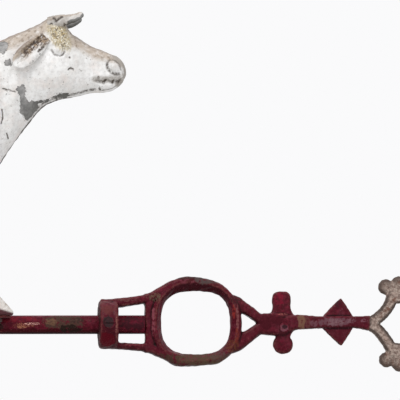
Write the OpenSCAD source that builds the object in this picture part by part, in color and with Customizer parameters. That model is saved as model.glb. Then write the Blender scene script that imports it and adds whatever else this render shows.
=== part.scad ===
// Cow weathervane: a hollow zinc cow on a red iron arrow that turns on a steel spindle.
// X runs along the arrow towards its point, Y is the cow's left, Z is up.
// The origin is the foot of the spindle. All sizes are in millimetres.

/* [Spindle] */
// Diameter of the fixed steel spindle
spindle_d = 12.7; // [12.4:0.1:14]
// Diameter of the spindle's foot, which drops into a roof bracket up to its shoulder
foot_d = 12; // [8:0.5:12]
// Length of the foot below the shoulder
foot_len = 50; // [30:1:80]
// Height of the arrow's tube axis above the foot of the spindle
axis_z = 200; // [150:1:300]
// Gap between the spindle's top and the underside of the cap
spindle_top_gap = 4; // [1:0.5:8]
// Radial running clearance between the spindle and its bushes
running_clearance = 0.05; // [0.02:0.01:0.1]
// Outer diameter of the thrust collar
collar_ring_d = 26; // [22:0.5:32]
// Length of the thrust collar
collar_ring_len = 14; // [10:0.5:20]
// Outer diameter of the thrust washer
washer_d = 25; // [20:0.5:30]
// Thickness of the thrust washer
washer_t = 2; // [1:0.25:4]
// Gap between the washer and the lower bush above it
thrust_gap = 0.2; // [0.1:0.05:0.4]

/* [Hub] */
// Outer diameter of the hub's barrel
hub_d = 32; // [28:0.5:40]
// Depth of the barrel below the tube axis
hub_drop = 30; // [20:1:45]
// Height of the barrel above the tube axis
hub_rise = 26; // [20:1:40]
// Outer diameter of the bushes
bush_d = 18; // [16.5:0.25:20]
// Length of each bush in the barrel
bush_len = 14; // [8:0.5:18]
// Flange thickness of the lower bush
bush_flange_t = 2; // [1:0.25:4]
// Outer diameter of the sockets that hold the tubes
socket_d = 26; // [22:0.5:32]
// Reach of each socket from the spindle axis
socket_reach = 42; // [32:1:60]
// Wall between the barrel's bore and the floor of each socket
socket_floor = 5; // [3:0.5:8]
// Height of the cap's dome over the barrel
cap_h = 9; // [5:0.5:14]
// Depth of the cap's skirt round the barrel
cap_skirt = 6; // [3:0.5:10]
// Wall of the cap
cap_wall = 2; // [1:0.25:3]

/* [Tubes] */
// Outer diameter of the arrow's tubes
tube_d = 16; // [14:0.1:19]
// Wall of the tubes
tube_wall = 2; // [1:0.1:3]
// Spindle axis to the collar of the ring casting
front_reach = 214.5; // [190:0.5:260]
// Spindle axis to the collar of the tail socket
rear_reach = 213; // [190:1:260]

/* [Ring casting] */
// Diameter of the collar round the tube
collar_d = 42; // [34:0.5:50]
// Length of the collar along the tube
collar_len = 15; // [12:0.5:26]
// Length of the two windows between the collar and the ring
window_len = 23.5; // [14:0.5:34]
// Depth of the yoke's arms, front to back
yoke_depth = 13; // [9:0.5:18]
// Thickness of a yoke arm where it leaves the collar
arm_t = 6.5; // [4:0.5:10]
// Length of the ring's outside along the arrow
ring_len = 84; // [70:1:110]
// Height of the ring's outside
ring_h = 75; // [60:1:100]
// Wall of the ring towards the collar
ring_wall_near = 14; // [10:0.5:18]
// Wall of the ring towards the arrow point, above and below
ring_wall = 10; // [7:0.5:14]
// Depth of the ring, front to back
ring_depth = 17; // [12:0.5:24]
// Width of one bevel step on the ring's rounded edges
ring_bevel = 1.4; // [0.5:0.1:2]
// Length of the Y neck from the ring to the lobes
neck_len = 26; // [18:0.5:36]
// Height of the neck where it meets the lobes
neck_h = 18; // [14:0.5:24]
// Depth of the neck, front to back
neck_depth = 12; // [10:0.5:16]
// Radius of the two lobes
lobe_r = 8; // [6:0.25:11]
// Tube axis to the centre of each lobe
lobe_out = 19; // [16:0.5:26]
// Thickness of the lobes
lobe_t = 7; // [4:0.5:10]
// Lobes to the end of the neck, where the bar comes out
neck_nose = 4.5; // [3:0.5:8]
// Height of the ring and arrow's middle line above the tube axis
lift = 1.5; // [0:0.25:3]

/* [Arrow] */
// Height of the bar where it leaves the neck
bar_h = 11.5; // [9:0.25:15]
// Height of the bar at the tip
bar_end_h = 9.5; // [8:0.25:13]
// Depth of the bar, front to back
bar_depth = 9; // [7:0.25:12]
// Length of the bar from the neck to the tip
bar_len = 64; // [54:1:90]
// Neck end to the peaks of the diamond
diamond_x = 38.5; // [28:0.5:46]
// Length of the diamond plate behind its peaks
diamond_rear = 20; // [14:0.5:26]
// Length of the diamond plate ahead of its peaks
diamond_front = 14; // [8:0.5:16]
// Height of the diamond plate
diamond_h = 39; // [28:0.5:50]
// Thickness of the diamond plate
diamond_t = 5; // [3:0.25:8]
// Length of the tenons at both ends of the bar
tenon_len = 18; // [12:0.5:20]
// Height and depth of the tenons
tenon_w = 6; // [4:0.25:7]
// Clearance round a tenon
tenon_gap = 0.1; // [0.05:0.05:0.3]
// Diameter of the rivet through the bar's tenon
rivet_d = 4; // [3:0.25:5]
// Diameter of the rivet's heads
rivet_head_d = 8.5; // [6:0.25:11]
// Rivet to the neck's end
rivet_back = 10.5; // [7:0.5:12]
// Drop of the bar's tenon and rivet below the bar's middle line
rivet_drop = 4.5; // [0:0.25:5]

/* [Arrow tip] */
// Depth of the bare tip, front to back
tip_depth = 8; // [7:0.25:12]
// Paint edge to the centre of the openwork
tip_centre = 26; // [22:0.5:32]
// Radius of the four curved arms at mid width
tip_arm_r = 29; // [26:0.5:34]
// Width of the curved arms
tip_arm_w = 10; // [7:0.5:12]
// Height of the opening between the arms
tip_opening_h = 33; // [24:1:40]
// Radius of the side lobes of each trefoil
trefoil_r = 6; // [4.5:0.25:8]
// Radius of the middle lobe of each trefoil
trefoil_mid_r = 7; // [5:0.25:9]
// Length of the spear point beyond the openwork
spear_len = 42; // [30:1:60]
// Greatest height of the spear point
spear_h = 26; // [18:0.5:36]

/* [Tail] */
// Length of the fork behind the tail collar
fork_len = 34; // [24:1:46]
// Height of the fork
fork_h = 22; // [16:0.5:30]
// Depth of the fork, front to back
fork_depth = 13; // [10:0.5:18]
// Thickness of the sheet-iron fin
fin_t = 2.5; // [1.5:0.25:4]
// Length of the fin
fin_len = 175; // [120:1:240]
// Height of the fin at its rear edge
fin_h = 120; // [80:1:160]
// Height of the fin where it leaves the fork
fin_root_h = 34; // [24:1:60]
// Depth of the swallow notch in the rear edge
fin_notch = 34; // [10:1:60]
// Diameter of the fin's rivets
fin_rivet_d = 5; // [3:0.25:6]

/* [Saddles] */
// Wall of the saddle and strap round the tube
saddle_wall = 2.2; // [1.5:0.1:4]
// Length of a saddle along the tube
saddle_len = 38; // [36:1:60]
// Thickness of a saddle's wings
wing_t = 2.5; // [2:0.25:5]
// Top of the wings below the top of the tube
wing_drop = 1; // [0:0.25:3]
// Reach of the wings past the middle of the hooves
wing_out = 6; // [5:0.5:12]
// Radius of the wings' corners
wing_r = 7; // [2:0.5:9]
// Width of a strap along the tube
strap_w = 12; // [10:0.5:16]
// Thickness of a strap's feet
strap_t = 3; // [2:0.25:5]
// Diameter of the clamp bolts
bolt_d = 5; // [4:0.25:6]
// Gap between a saddle and its strap, where the bolts pull them together
clamp_gap = 2; // [0.5:0.25:4]
// Diameter of the studs under the hooves
stud_d = 4; // [3:0.25:5]

/* [Set screws] */
// Diameter of every set screw
set_screw_d = 5; // [4:0.25:6]
// Height of a set screw's square head
set_head_h = 4; // [2:0.5:6]

/* [Cow] */
// Length of the cow from its rump to its muzzle
cow_len = 372; // [340:1:400]
// Height of the cow from its soles to its poll
cow_h = 259; // [240:1:275]
// Width of the cow across its barrel
cow_w = 100; // [90:1:115]
// Wall of the pressed zinc
zinc_t = 1.5; // [1:0.1:2.5]
// Middle plane to the centre line of each leg
stance = 22; // [18:0.5:28]
// Length of a horn along its curve
horn_len = 30; // [20:1:38]
// Diameter of a horn at its root
horn_d = 12; // [8:0.5:13]
// Length of an ear
ear_len = 40; // [28:1:46]
// Width of an ear
ear_w = 17; // [12:0.5:22]
// Diameter of the tail at its root
tail_d = 9; // [7:0.5:12]
// Width of the udder
udder_w = 40; // [32:1:52]

/* [Hidden] */

// Colours: red paint, bare iron, white painted zinc, steel, brass and bronze
RED = [0.42, 0.17, 0.20];
IRON = [0.50, 0.43, 0.40];
WHITE = [0.90, 0.90, 0.88];
STEEL = [0.55, 0.55, 0.56];
BRASS = [0.72, 0.58, 0.30];

// Overrun of every cut past the face that it opens
over = 1;
// Slack of screws, bolts and rivets in their holes
fit = 0.05;
// Facets of the large and the small round pieces
$fn = 48;
fine = 24;

// Heights and reaches that several pieces share
hub_bottom = axis_z - hub_drop;
hub_top = axis_z + hub_rise;
bush_bore = spindle_d + 2 * running_clearance;
washer_top = hub_bottom - bush_flange_t - thrust_gap;
collar_ring_top = washer_top - washer_t;
tube_r = tube_d / 2;
tube_start = bush_d / 2 + socket_floor;
hub_screw_x = (socket_reach + hub_d / 2) / 2;
ring_near_x = front_reach + collar_len + window_len;
ring_cx = ring_near_x + ring_len / 2;
opening_len = ring_len - ring_wall_near - ring_wall;
opening_cx = ring_near_x + ring_wall_near + opening_len / 2;
opening_h = ring_h - 2 * ring_wall;
ring_far_x = ring_near_x + ring_len;
neck_end = ring_far_x + neck_len + 2 * lobe_r + neck_nose;
lobe_x = ring_far_x + neck_len + lobe_r;
tip_x = neck_end + bar_len;
tip_cx = tip_x + tip_centre;
fork_x = -rear_reach - collar_len;

// The cow's own measures, kept as real sizes and stretched by its length, height and width
stretch_x = cow_len / 372;
stretch_y = cow_w / 100;
stretch_z = cow_h / 259;
wing_top = axis_z + tube_r - wing_drop;
sole_z = wing_top;
rump_x = -134;

// Cross-sections from rump to muzzle: place along X, top, bottom and half width above the soles
body_line = [
    [-134, 191, 165, 12], [-130, 207, 138, 25], [-120, 214, 118, 35], [-104, 218, 108, 42],
    [-84, 220, 104, 45], [-58, 219, 99, 47], [-28, 217, 96, 49], [2, 217, 95, 50],
    [32, 218, 97, 48], [56, 221, 102, 44], [76, 224, 107, 41], [92, 226, 106, 38],
    [106, 230, 107, 34], [118, 234, 115, 29], [129, 237, 130, 24], [138, 240.5, 144, 21],
    [147, 244, 157, 19.5], [156, 248, 167.5, 18.5], [163, 251.5, 175.5, 18.5],
    [170, 256, 180.5, 19.5], [177, 259, 183.5, 20], [184, 254.5, 185.5, 19.5],
    [190, 244, 186, 18.5], [198, 237.5, 188, 15.5], [208, 231, 191, 12.5],
    [217, 227.5, 192.5, 12], [225.5, 223.5, 196, 12.5], [232, 220, 201, 11.5],
    [236, 215.5, 205.5, 9], [238, 212.5, 209, 4]];
// Cross-sections of a front leg from elbow to pastern: height, place along X, half length, half width
front_leg_line = [
    [156, 97, 13, 7], [128, 100, 19.5, 12.5], [105, 103, 17, 12], [83, 107, 12.5, 9.5],
    [65, 110, 9.5, 8], [55, 111, 9.5, 8.2], [45, 111.5, 7.2, 6.6], [31, 113, 6.2, 5.8],
    [22, 116, 7.5, 6.8], [15, 120, 7.8, 6.6], [10, 122.5, 8.4, 6.6]];
// The same of a hind leg, with the hock's backward bend
hind_leg_line = [
    [172, -94, 17, 12], [138, -97, 28, 16], [115, -102, 26, 15], [97, -108, 19, 12],
    [82, -115, 13, 9.5], [70, -120, 10, 8], [59, -121, 8.4, 7.2], [46, -118.5, 6.8, 6.2],
    [32, -115.5, 6.4, 6], [22, -112.5, 7.5, 6.8], [15, -108.5, 7.8, 6.6], [10, -106, 8.4, 6.6]];
// Hoof centres along X, and the claws' sizes
front_hoof_x = 127;
hind_hoof_x = -100;
claw_len = 22;
claw_w = 7.4;
claw_h = 14;
cleft = 1;
// Height under which a leg's inner half is its own pressing, and the leg's sides
inner_leg_top = 92;
leg_sides = 12;
body_sides = 20;

// Places on the stretched cow
function cow_x(x) = rump_x + (x - rump_x) * stretch_x;
function cow_z(h) = sole_z + h * stretch_z;

front_saddle_x = cow_x(front_hoof_x) - 8;
rear_saddle_x = cow_x(hind_hoof_x) - 8;

// A cylinder along X that starts at x
module rod_x(x, len, d) {
    translate([x, 0, axis_z]) rotate([0, 90, 0]) cylinder(h = len, d = d);
}

// An outline drawn in the plane of the arrow, given thickness about it
module plate(depth, raised = 0) {
    translate([0, 0, axis_z + raised]) rotate([90, 0, 0]) translate([0, 0, -depth / 2])
        linear_extrude(depth) children();
}

// A cylinder across the arrow
module pin_y(x, z, d, depth) {
    translate([x, 0, axis_z + z]) rotate([90, 0, 0]) cylinder(h = depth, d = d, center = true);
}

// A set screw that points along -Z from its head, with a square head
module square_head_screw(shank) {
    translate([0, 0, -shank]) cylinder(h = shank, d = set_screw_d, $fn = fine);
    translate([-set_screw_d * 0.8, -set_screw_d * 0.8, 0])
        cube([set_screw_d * 1.6, set_screw_d * 1.6, set_head_h]);
}

// A slotted set screw along +Y that ends on the tube, with its head proud of a collar
module slotted_screw(x) {
    head_d = set_screw_d * 1.8;
    head_t = 2;
    slot_w = 1;
    difference() {
        translate([x, 0, axis_z]) rotate([90, 0, 0]) {
            translate([0, 0, tube_r]) cylinder(h = collar_d / 2 - tube_r, d = set_screw_d, $fn = fine);
            translate([0, 0, collar_d / 2]) cylinder(h = head_t, d = head_d, $fn = fine);
        }
        translate([x - head_d, -collar_d / 2 - head_t - over, axis_z - slot_w / 2])
            cube([2 * head_d, over + 1, slot_w]);
    }
}

// The collar that both castings slide on the tube with, bored for the tube and for its screw
module collar_blank(x) {
    rod_x(x, collar_len, collar_d);
}

module collar_cuts(x, mid) {
    rod_x(x - over, collar_len + 2 * over, tube_d + 2 * fit);
    translate([mid, 0, axis_z]) rotate([90, 0, 0])
        cylinder(h = collar_d, d = set_screw_d + 2 * fit, $fn = fine);
}

// Spindle: a rod with a shouldered foot and a blunt bevelled top
module spindle() {
    top = hub_top - spindle_top_gap;
    bevel = 2;
    color(STEEL) {
        cylinder(h = foot_len, d = foot_d);
        translate([0, 0, foot_len]) cylinder(h = top - bevel - foot_len, d = spindle_d);
        translate([0, 0, top - bevel]) cylinder(h = bevel, d1 = spindle_d, d2 = spindle_d - 2 * bevel);
    }
}

// Thrust collar: locked on the spindle under the washer
module thrust_collar() {
    mid = collar_ring_top - collar_ring_len / 2;
    color(STEEL) difference() {
        translate([0, 0, collar_ring_top - collar_ring_len]) cylinder(h = collar_ring_len, d = collar_ring_d);
        translate([0, 0, collar_ring_top - collar_ring_len - over])
            cylinder(h = collar_ring_len + 2 * over, d = spindle_d + 2 * fit);
        translate([0, 0, mid]) rotate([90, 0, 0])
            cylinder(h = collar_ring_d, d = set_screw_d + 2 * fit, $fn = fine);
    }
}

module thrust_collar_screw() {
    mid = collar_ring_top - collar_ring_len / 2;
    color(STEEL) translate([0, -collar_ring_d / 2, mid]) rotate([90, 0, 0])
        square_head_screw(collar_ring_d / 2 - spindle_d / 2);
}

// Thrust washer: lies on the collar
module thrust_washer() {
    color(BRASS) difference() {
        translate([0, 0, collar_ring_top]) cylinder(h = washer_t, d = washer_d);
        translate([0, 0, collar_ring_top - over]) cylinder(h = washer_t + 2 * over, d = spindle_d + 2 * fit);
    }
}

// Hub: barrel and two tube sockets, bored for the bushes, tubes and screws
module hub() {
    color(RED) difference() {
        union() {
            translate([0, 0, hub_bottom]) cylinder(h = hub_rise + hub_drop, d = hub_d);
            rod_x(-socket_reach, 2 * socket_reach, socket_d);
        }
        translate([0, 0, hub_bottom - over]) cylinder(h = hub_rise + hub_drop + 2 * over, d = bush_d + 2 * fit);
        for (side = [-1, 1]) {
            rod_x(side > 0 ? tube_start : -socket_reach - over, socket_reach + over - tube_start,
                tube_d + 2 * fit);
            translate([side * hub_screw_x, 0, axis_z])
                cylinder(h = socket_d, d = set_screw_d + 2 * fit, $fn = fine);
        }
    }
}

module hub_screws() {
    color(STEEL) for (side = [-1, 1])
        translate([side * hub_screw_x, 0, axis_z + socket_d / 2])
            square_head_screw(socket_d / 2 - tube_r);
}

// Bushes: bronze, the lower one with a flange that runs on the washer
module lower_bush() {
    color(BRASS) difference() {
        union() {
            translate([0, 0, hub_bottom]) cylinder(h = bush_len, d = bush_d);
            translate([0, 0, hub_bottom - bush_flange_t]) cylinder(h = bush_flange_t, d = washer_d);
        }
        translate([0, 0, hub_bottom - bush_flange_t - over])
            cylinder(h = bush_len + bush_flange_t + 2 * over, d = bush_bore);
    }
}

module upper_bush() {
    color(BRASS) difference() {
        translate([0, 0, hub_top - bush_len]) cylinder(h = bush_len, d = bush_d);
        translate([0, 0, hub_top - bush_len - over]) cylinder(h = bush_len + 2 * over, d = bush_bore);
    }
}

// Cap: a turned dome whose skirt goes round the barrel
module hub_cap() {
    inner_r = hub_d / 2 + fit;
    outer_r = inner_r + cap_wall;
    color(RED) translate([0, 0, hub_top]) rotate_extrude() polygon(concat(
        [[inner_r, -cap_skirt], [outer_r, -cap_skirt]],
        [for (a = [0:10:90]) [outer_r * cos(a), cap_h * sin(a)]],
        [[0, 0], [inner_r, 0]]));
}

// Tubes: from the hub's sockets to the castings
module front_tube() {
    tube(tube_start, ring_near_x);
}

module rear_tube() {
    tube(fork_x, -tube_start);
}

module tube(from, to) {
    color(RED) difference() {
        rod_x(from, to - from, tube_d);
        rod_x(from - over, to - from + 2 * over, tube_d - 2 * tube_wall);
    }
}

// Rounded-square loop of half length a and half height b, squarer as n grows
function loop_power(v, n) = sign(v) * pow(abs(v), 2 / n);
function rounded_loop(a, b, n, sides = 64) =
    [for (i = [0:sides - 1]) let (t = 360 * i / sides) [a * loop_power(cos(t), n), b * loop_power(sin(t), n)]];

// The ring's bar in steps, each narrower and deeper than the one before, so its edges are round
module ring_bar() {
    for (step = [0:2]) {
        shrink = ring_bevel * step * (step + 1) / 2;
        plate(ring_depth - (2 - step) * ring_bevel * 2, lift) difference() {
            translate([ring_cx, 0]) polygon(rounded_loop(ring_len / 2 - shrink, ring_h / 2 - shrink, 2.2));
            translate([opening_cx, 0])
                polygon(rounded_loop(opening_len / 2 + shrink, opening_h / 2 + shrink, 2.8));
        }
    }
}

// Outline of the yoke's upper half: from the collar the arm widens into the ring's shoulder
function yoke_half() = let (
    top = collar_d / 2,
    inner = top - arm_t,
    from = front_reach + collar_len / 2,
    window = front_reach + collar_len,
    shoulder = ring_near_x + ring_len * 0.26)
    [[from, inner], [from, top], [window, top + arm_t * 0.25],
     [window + window_len * 0.75, top + arm_t * 0.55], [ring_near_x + ring_len * 0.05, top + arm_t * 0.9],
     [ring_near_x + ring_len * 0.16, ring_h * 0.42], [shoulder, ring_h * 0.475],
     [shoulder, opening_h / 2 + ring_wall * 0.2], [ring_near_x + ring_wall_near * 0.4, 0],
     [ring_near_x, 0], [ring_near_x, inner + arm_t * 0.3], [window, inner]];

// Outline of the neck's upper half: an arm from the ring that curves in to the lobes,
// over half of the triangular hole between the two arms
function neck_half() = let (half = neck_h / 2, from = ring_far_x - ring_wall * 0.8)
    [[from - ring_wall * 0.4, ring_h * 0.16], [from, ring_h * 0.33],
     [ring_far_x + neck_len * 0.08, ring_h * 0.26], [ring_far_x + neck_len * 0.4, half * 1.5],
     [ring_far_x + neck_len * 0.65, half * 1.1], [ring_far_x + neck_len, half],
     [lobe_x + lobe_r * 0.75, half], [neck_end, bar_h * 0.6], [neck_end, 0],
     [ring_far_x + neck_len * 0.58, 0], [ring_far_x + neck_len * 0.08, half * 0.9],
     [ring_far_x - ring_wall * 0.4, half * 0.9]];

module mirrored_outline(points) {
    polygon(points);
    mirror([0, 1]) polygon(points);
}

// Ring casting: collar, yoke, ring, neck and lobes
module ring_casting() {
    color(RED) difference() {
        union() {
            collar_blank(front_reach);
            plate(yoke_depth, lift / 2) mirrored_outline(yoke_half());
            ring_bar();
            plate(neck_depth, lift) mirrored_outline(neck_half());
            plate(lobe_t, lift) for (side = [-1, 1]) {
                translate([lobe_x, side * lobe_out]) circle(r = lobe_r);
                translate([lobe_x - lobe_r * 0.75, side > 0 ? 0 : -lobe_out]) square([lobe_r * 1.5, lobe_out]);
            }
        }
        collar_cuts(front_reach, front_reach + collar_len / 2);
        rod_x(ring_near_x - window_len, window_len, tube_d + 2 * fit);
        tenon(neck_end, tenon_gap, rivet_drop);
        shaft_rivet_hole();
    }
}

module ring_screw() {
    color(STEEL) slotted_screw(front_reach + collar_len / 2);
}

// A square tenon that runs back from x, rooted just past it and dropped below the bar's middle,
// or its hole when it has a gap
module tenon(x, gap = 0, drop = 0) {
    side = tenon_w + 2 * gap;
    len = tenon_len + gap;
    translate([x - len, -side / 2, axis_z + lift - drop - side / 2]) cube([len + over, side, side]);
}

module shaft_rivet_hole() {
    pin_y(neck_end - rivet_back, lift - rivet_drop, rivet_d + 2 * fit, neck_depth + 2 * over);
}

// Arrow shaft: a tapered bar, the thinner diamond plate, a tenon and a hole for the tip's tenon
module arrow_shaft() {
    color(RED) difference() {
        union() {
            plate(bar_depth, lift) polygon([[neck_end, -bar_h / 2], [neck_end, bar_h / 2],
                [neck_end + tenon_len, bar_end_h / 2], [tip_x, bar_end_h / 2],
                [tip_x, -bar_end_h / 2], [neck_end + tenon_len, -bar_end_h / 2]]);
            plate(diamond_t, lift) translate([neck_end + diamond_x, 0]) polygon([[-diamond_rear, 0],
                [0, diamond_h / 2], [diamond_front, 0], [0, -diamond_h / 2]]);
            tenon(neck_end, 0, rivet_drop);
        }
        tenon(tip_x, tenon_gap);
        shaft_rivet_hole();
    }
}

module shaft_rivet() {
    x = neck_end - rivet_back;
    z = lift - rivet_drop;
    head_t = 1.5;
    color(RED) {
        pin_y(x, z, rivet_d, neck_depth);
        for (side = [-1, 1]) translate([x, side * (neck_depth + head_t) / 2, axis_z + z]) rotate([90, 0, 0])
            cylinder(h = head_t, d = rivet_head_d, center = true, $fn = fine);
    }
}

// Arrow tip: four curved arms round an opening, a trefoil above and below, a spear point
module arrow_tip() {
    arc_x = tip_arm_r + tip_arm_w / 2 + 1.5;
    arc_z = tip_arm_r - 1;
    color(IRON) {
        plate(tip_depth, lift) translate([tip_cx, 0]) {
            for (sx = [-1, 1], sz = [-1, 1]) scale([sx, sz]) {
                intersection() {
                    translate([-arc_x, arc_z]) difference() {
                        circle(r = tip_arm_r + tip_arm_w / 2, $fn = 64);
                        circle(r = tip_arm_r - tip_arm_w / 2, $fn = 64);
                    }
                    translate([-tip_centre, 0]) square([tip_centre + 1, arc_z + trefoil_r]);
                }
                translate([-trefoil_r * 2, arc_z + trefoil_r * 0.6]) circle(r = trefoil_r);
            }
            for (sz = [-1, 1]) scale([1, sz]) {
                translate([0, arc_z + trefoil_r]) circle(r = trefoil_mid_r);
                translate([-trefoil_r, tip_opening_h / 2])
                    square([2 * trefoil_r, arc_z + trefoil_r - tip_opening_h / 2]);
            }
            spear = tip_centre;
            polygon([[spear - 6, 0], [spear - 2, bar_end_h / 2], [spear + 5, bar_end_h / 2],
                [spear + 12, spear_h / 2], [spear + 22, spear_h / 2 - 3], [spear + spear_len, 0],
                [spear + 22, 3 - spear_h / 2], [spear + 12, -spear_h / 2], [spear + 5, -bar_end_h / 2],
                [spear - 2, -bar_end_h / 2]]);
        }
        tenon(tip_x);
    }
}

// Tail socket: the collar and a fork that is slotted for the fin
module tail_socket() {
    slot_from = 6;
    color(RED) difference() {
        union() {
            collar_blank(fork_x);
            plate(fork_depth) polygon([[fork_x + collar_len / 2, fork_h / 2 + 5], [fork_x - 8, fork_h / 2],
                [fork_x - fork_len, fork_h / 2 - 3], [fork_x - fork_len, 3 - fork_h / 2],
                [fork_x - 8, -fork_h / 2], [fork_x + collar_len / 2, -fork_h / 2 - 5]]);
        }
        rod_x(fork_x, collar_len + over, tube_d + 2 * fit);
        translate([fork_x + collar_len / 2, 0, axis_z]) rotate([90, 0, 0])
            cylinder(h = collar_d, d = set_screw_d + 2 * fit, $fn = fine);
        translate([fork_x - fork_len - over, -fin_t / 2 - fit, axis_z - fork_h])
            cube([fork_len + over - slot_from, fin_t + 2 * fit, 2 * fork_h]);
        for (x = fin_rivet_places()) pin_y(x, 0, fin_rivet_d + 2 * fit, fork_depth + 2 * over);
    }
}

function fin_rivet_places() = [fork_x - fork_len * 0.4, fork_x - fork_len * 0.8];

module tail_screw() {
    color(STEEL) slotted_screw(fork_x + collar_len / 2);
}

// Tail fin: a swallow-tailed sheet, let into the fork
module tail_fin() {
    front = fork_x - 6 - fit;
    rear = front - fin_len;
    shoulder = fork_x - fork_len;
    color(RED) difference() {
        plate(fin_t) polygon([[front, 0], [front - 4, fork_h / 2], [shoulder, fin_root_h / 2],
            [shoulder - 30, fin_root_h / 2 + 9], [rear + 45, fin_h / 2 - 4], [rear, fin_h / 2],
            [rear + fin_notch, 0], [rear, -fin_h / 2], [rear + 45, 4 - fin_h / 2],
            [shoulder - 30, -fin_root_h / 2 - 9], [shoulder, -fin_root_h / 2], [front - 4, -fork_h / 2]]);
        for (x = fin_rivet_places()) pin_y(x, 0, fin_rivet_d + 2 * fit, fork_depth);
    }
}

module tail_rivets() {
    head_t = 1.5;
    color(RED) for (x = fin_rivet_places()) {
        pin_y(x, 0, fin_rivet_d, fork_depth);
        for (side = [-1, 1]) translate([x, side * (fork_depth + head_t) / 2, axis_z]) rotate([90, 0, 0])
            cylinder(h = head_t, d = fin_rivet_d * 1.8, center = true, $fn = fine);
    }
}

// Saddles: a hump over the tube with a wing on each side for a hoof
saddle_r = tube_r + saddle_wall;
wing_w = 2 * (stance + wing_out);
strap_bolt_y = saddle_r + bolt_d * 0.9;
strap_top = wing_top - wing_t - clamp_gap;

// Outline of the wings from above: a rectangle with round corners
function wing_outline() =
    [for (corner = [0:3], step = [0:5]) let (turn = corner * 90 + step * 18,
        end = corner == 0 || corner == 3 ? 1 : -1, side = corner < 2 ? 1 : -1)
        [end * (saddle_len / 2 - wing_r) + wing_r * cos(turn), side * (wing_w / 2 - wing_r) + wing_r * sin(turn)]];

module saddle(x, hoof_x) {
    strap_x = x - saddle_len / 2 + strap_w / 2;
    color(RED) difference() {
        union() {
            rod_x(x - saddle_len / 2, saddle_len, 2 * saddle_r);
            translate([x, 0, wing_top - wing_t]) linear_extrude(wing_t) polygon(wing_outline());
        }
        rod_x(x - saddle_len / 2 - over, saddle_len + 2 * over, tube_d + 2 * fit);
        translate([x - saddle_len, -saddle_r - over, axis_z - saddle_r - over])
            cube([2 * saddle_len, 2 * (saddle_r + over), wing_top - wing_t - axis_z + saddle_r + over]);
        for (side = [-1, 1]) {
            translate([strap_x, side * strap_bolt_y, wing_top - wing_t - over])
                cylinder(h = wing_t + 2 * over, d = bolt_d + 2 * fit, $fn = fine);
            translate([hoof_x, side * stance, wing_top - wing_t - over])
                cylinder(h = wing_t + 2 * over, d = stud_d + 2 * fit, $fn = fine);
        }
    }
}

module strap(x) {
    strap_x = x - saddle_len / 2;
    foot = strap_bolt_y + bolt_d;
    color(RED) difference() {
        union() {
            rod_x(strap_x, strap_w, 2 * saddle_r);
            translate([strap_x, -foot, strap_top - strap_t]) cube([strap_w, 2 * foot, strap_t]);
        }
        rod_x(strap_x - over, strap_w + 2 * over, tube_d + 2 * fit);
        translate([strap_x - over, -foot - over, strap_top])
            cube([strap_w + 2 * over, 2 * (foot + over), saddle_r * 2]);
        for (side = [-1, 1]) translate([strap_x + strap_w / 2, side * strap_bolt_y, strap_top - strap_t - over])
            cylinder(h = strap_t + 2 * over, d = bolt_d + 2 * fit, $fn = fine);
    }
}

module front_saddle() saddle(front_saddle_x, cow_x(front_hoof_x));
module rear_saddle() saddle(rear_saddle_x, cow_x(hind_hoof_x));
module front_strap() strap(front_saddle_x);
module rear_strap() strap(rear_saddle_x);

// Clamp bolts stand with their heads on the wings, nuts under the straps
module saddle_bolts() {
    head_t = bolt_d * 0.6;
    color(STEEL) for (x = [front_saddle_x, rear_saddle_x], side = [-1, 1])
        translate([x - saddle_len / 2 + strap_w / 2, side * strap_bolt_y, 0]) {
            translate([0, 0, wing_top]) cylinder(h = head_t, d = bolt_d * 1.8, $fn = 6);
            translate([0, 0, strap_top - strap_t - bolt_d * 1.2])
                cylinder(h = wing_top - strap_top + strap_t + bolt_d * 1.2, d = bolt_d, $fn = fine);
        }
}

module saddle_nuts() {
    nut_t = bolt_d * 0.8;
    color(STEEL) for (x = [front_saddle_x, rear_saddle_x], side = [-1, 1])
        translate([x - saddle_len / 2 + strap_w / 2, side * strap_bolt_y, strap_top - strap_t - nut_t])
            nut(bolt_d, nut_t);
}

module nut(d, t) {
    difference() {
        cylinder(h = t, d = d * 1.8, $fn = 6);
        translate([0, 0, -over]) cylinder(h = t + 2 * over, d = d + 2 * fit, $fn = fine);
    }
}

module at_hooves() {
    for (x = [front_hoof_x, hind_hoof_x], side = [-1, 1]) translate([cow_x(x), side * stance, 0]) children();
}

module hoof_studs() {
    len = wing_t + stud_d * 1.2;
    color(STEEL) at_hooves() translate([0, 0, sole_z - len]) cylinder(h = len, d = stud_d, $fn = fine);
}

module hoof_nuts() {
    nut_t = stud_d * 0.8;
    color(STEEL) at_hooves() translate([0, 0, wing_top - wing_t - nut_t]) nut(stud_d, nut_t);
}

// A skin through rings of equal point counts, closed at both ends
module skin(rings) {
    count = len(rings);
    sides = len(rings[0]);
    points = [for (ring = rings) each ring];
    walls = [for (i = [0:count - 2], j = [0:sides - 1]) let (
        a = i * sides + j,
        b = i * sides + (j + 1) % sides)
        each [[b + sides, b, a], [a + sides, b + sides, a]]];
    ends = [[for (j = [0:sides - 1]) j], [for (j = [sides - 1:-1:0]) (count - 1) * sides + j]];
    polyhedron(points, concat(walls, ends));
}

// One cross-section of the body: a rounded loop between top and bottom, thinned by the wall
function body_ring(s, wall) = let (
    mid = (cow_z(s[1]) + cow_z(s[2])) / 2,
    half_z = (cow_z(s[1]) - cow_z(s[2])) / 2 - wall,
    half_y = s[3] * stretch_y - wall)
    [for (p = rounded_loop(half_y, half_z, 2.25, body_sides)) [cow_x(s[0]), p[0], mid + p[1]]];

// The body with its head, or its cavity when it has a wall
module body_form(wall) {
    last = len(body_line) - 1;
    skin([for (i = [wall > 0 ? 1 : 0 : wall > 0 ? last - 1 : last]) body_ring(body_line[i], wall)]);
}

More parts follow.
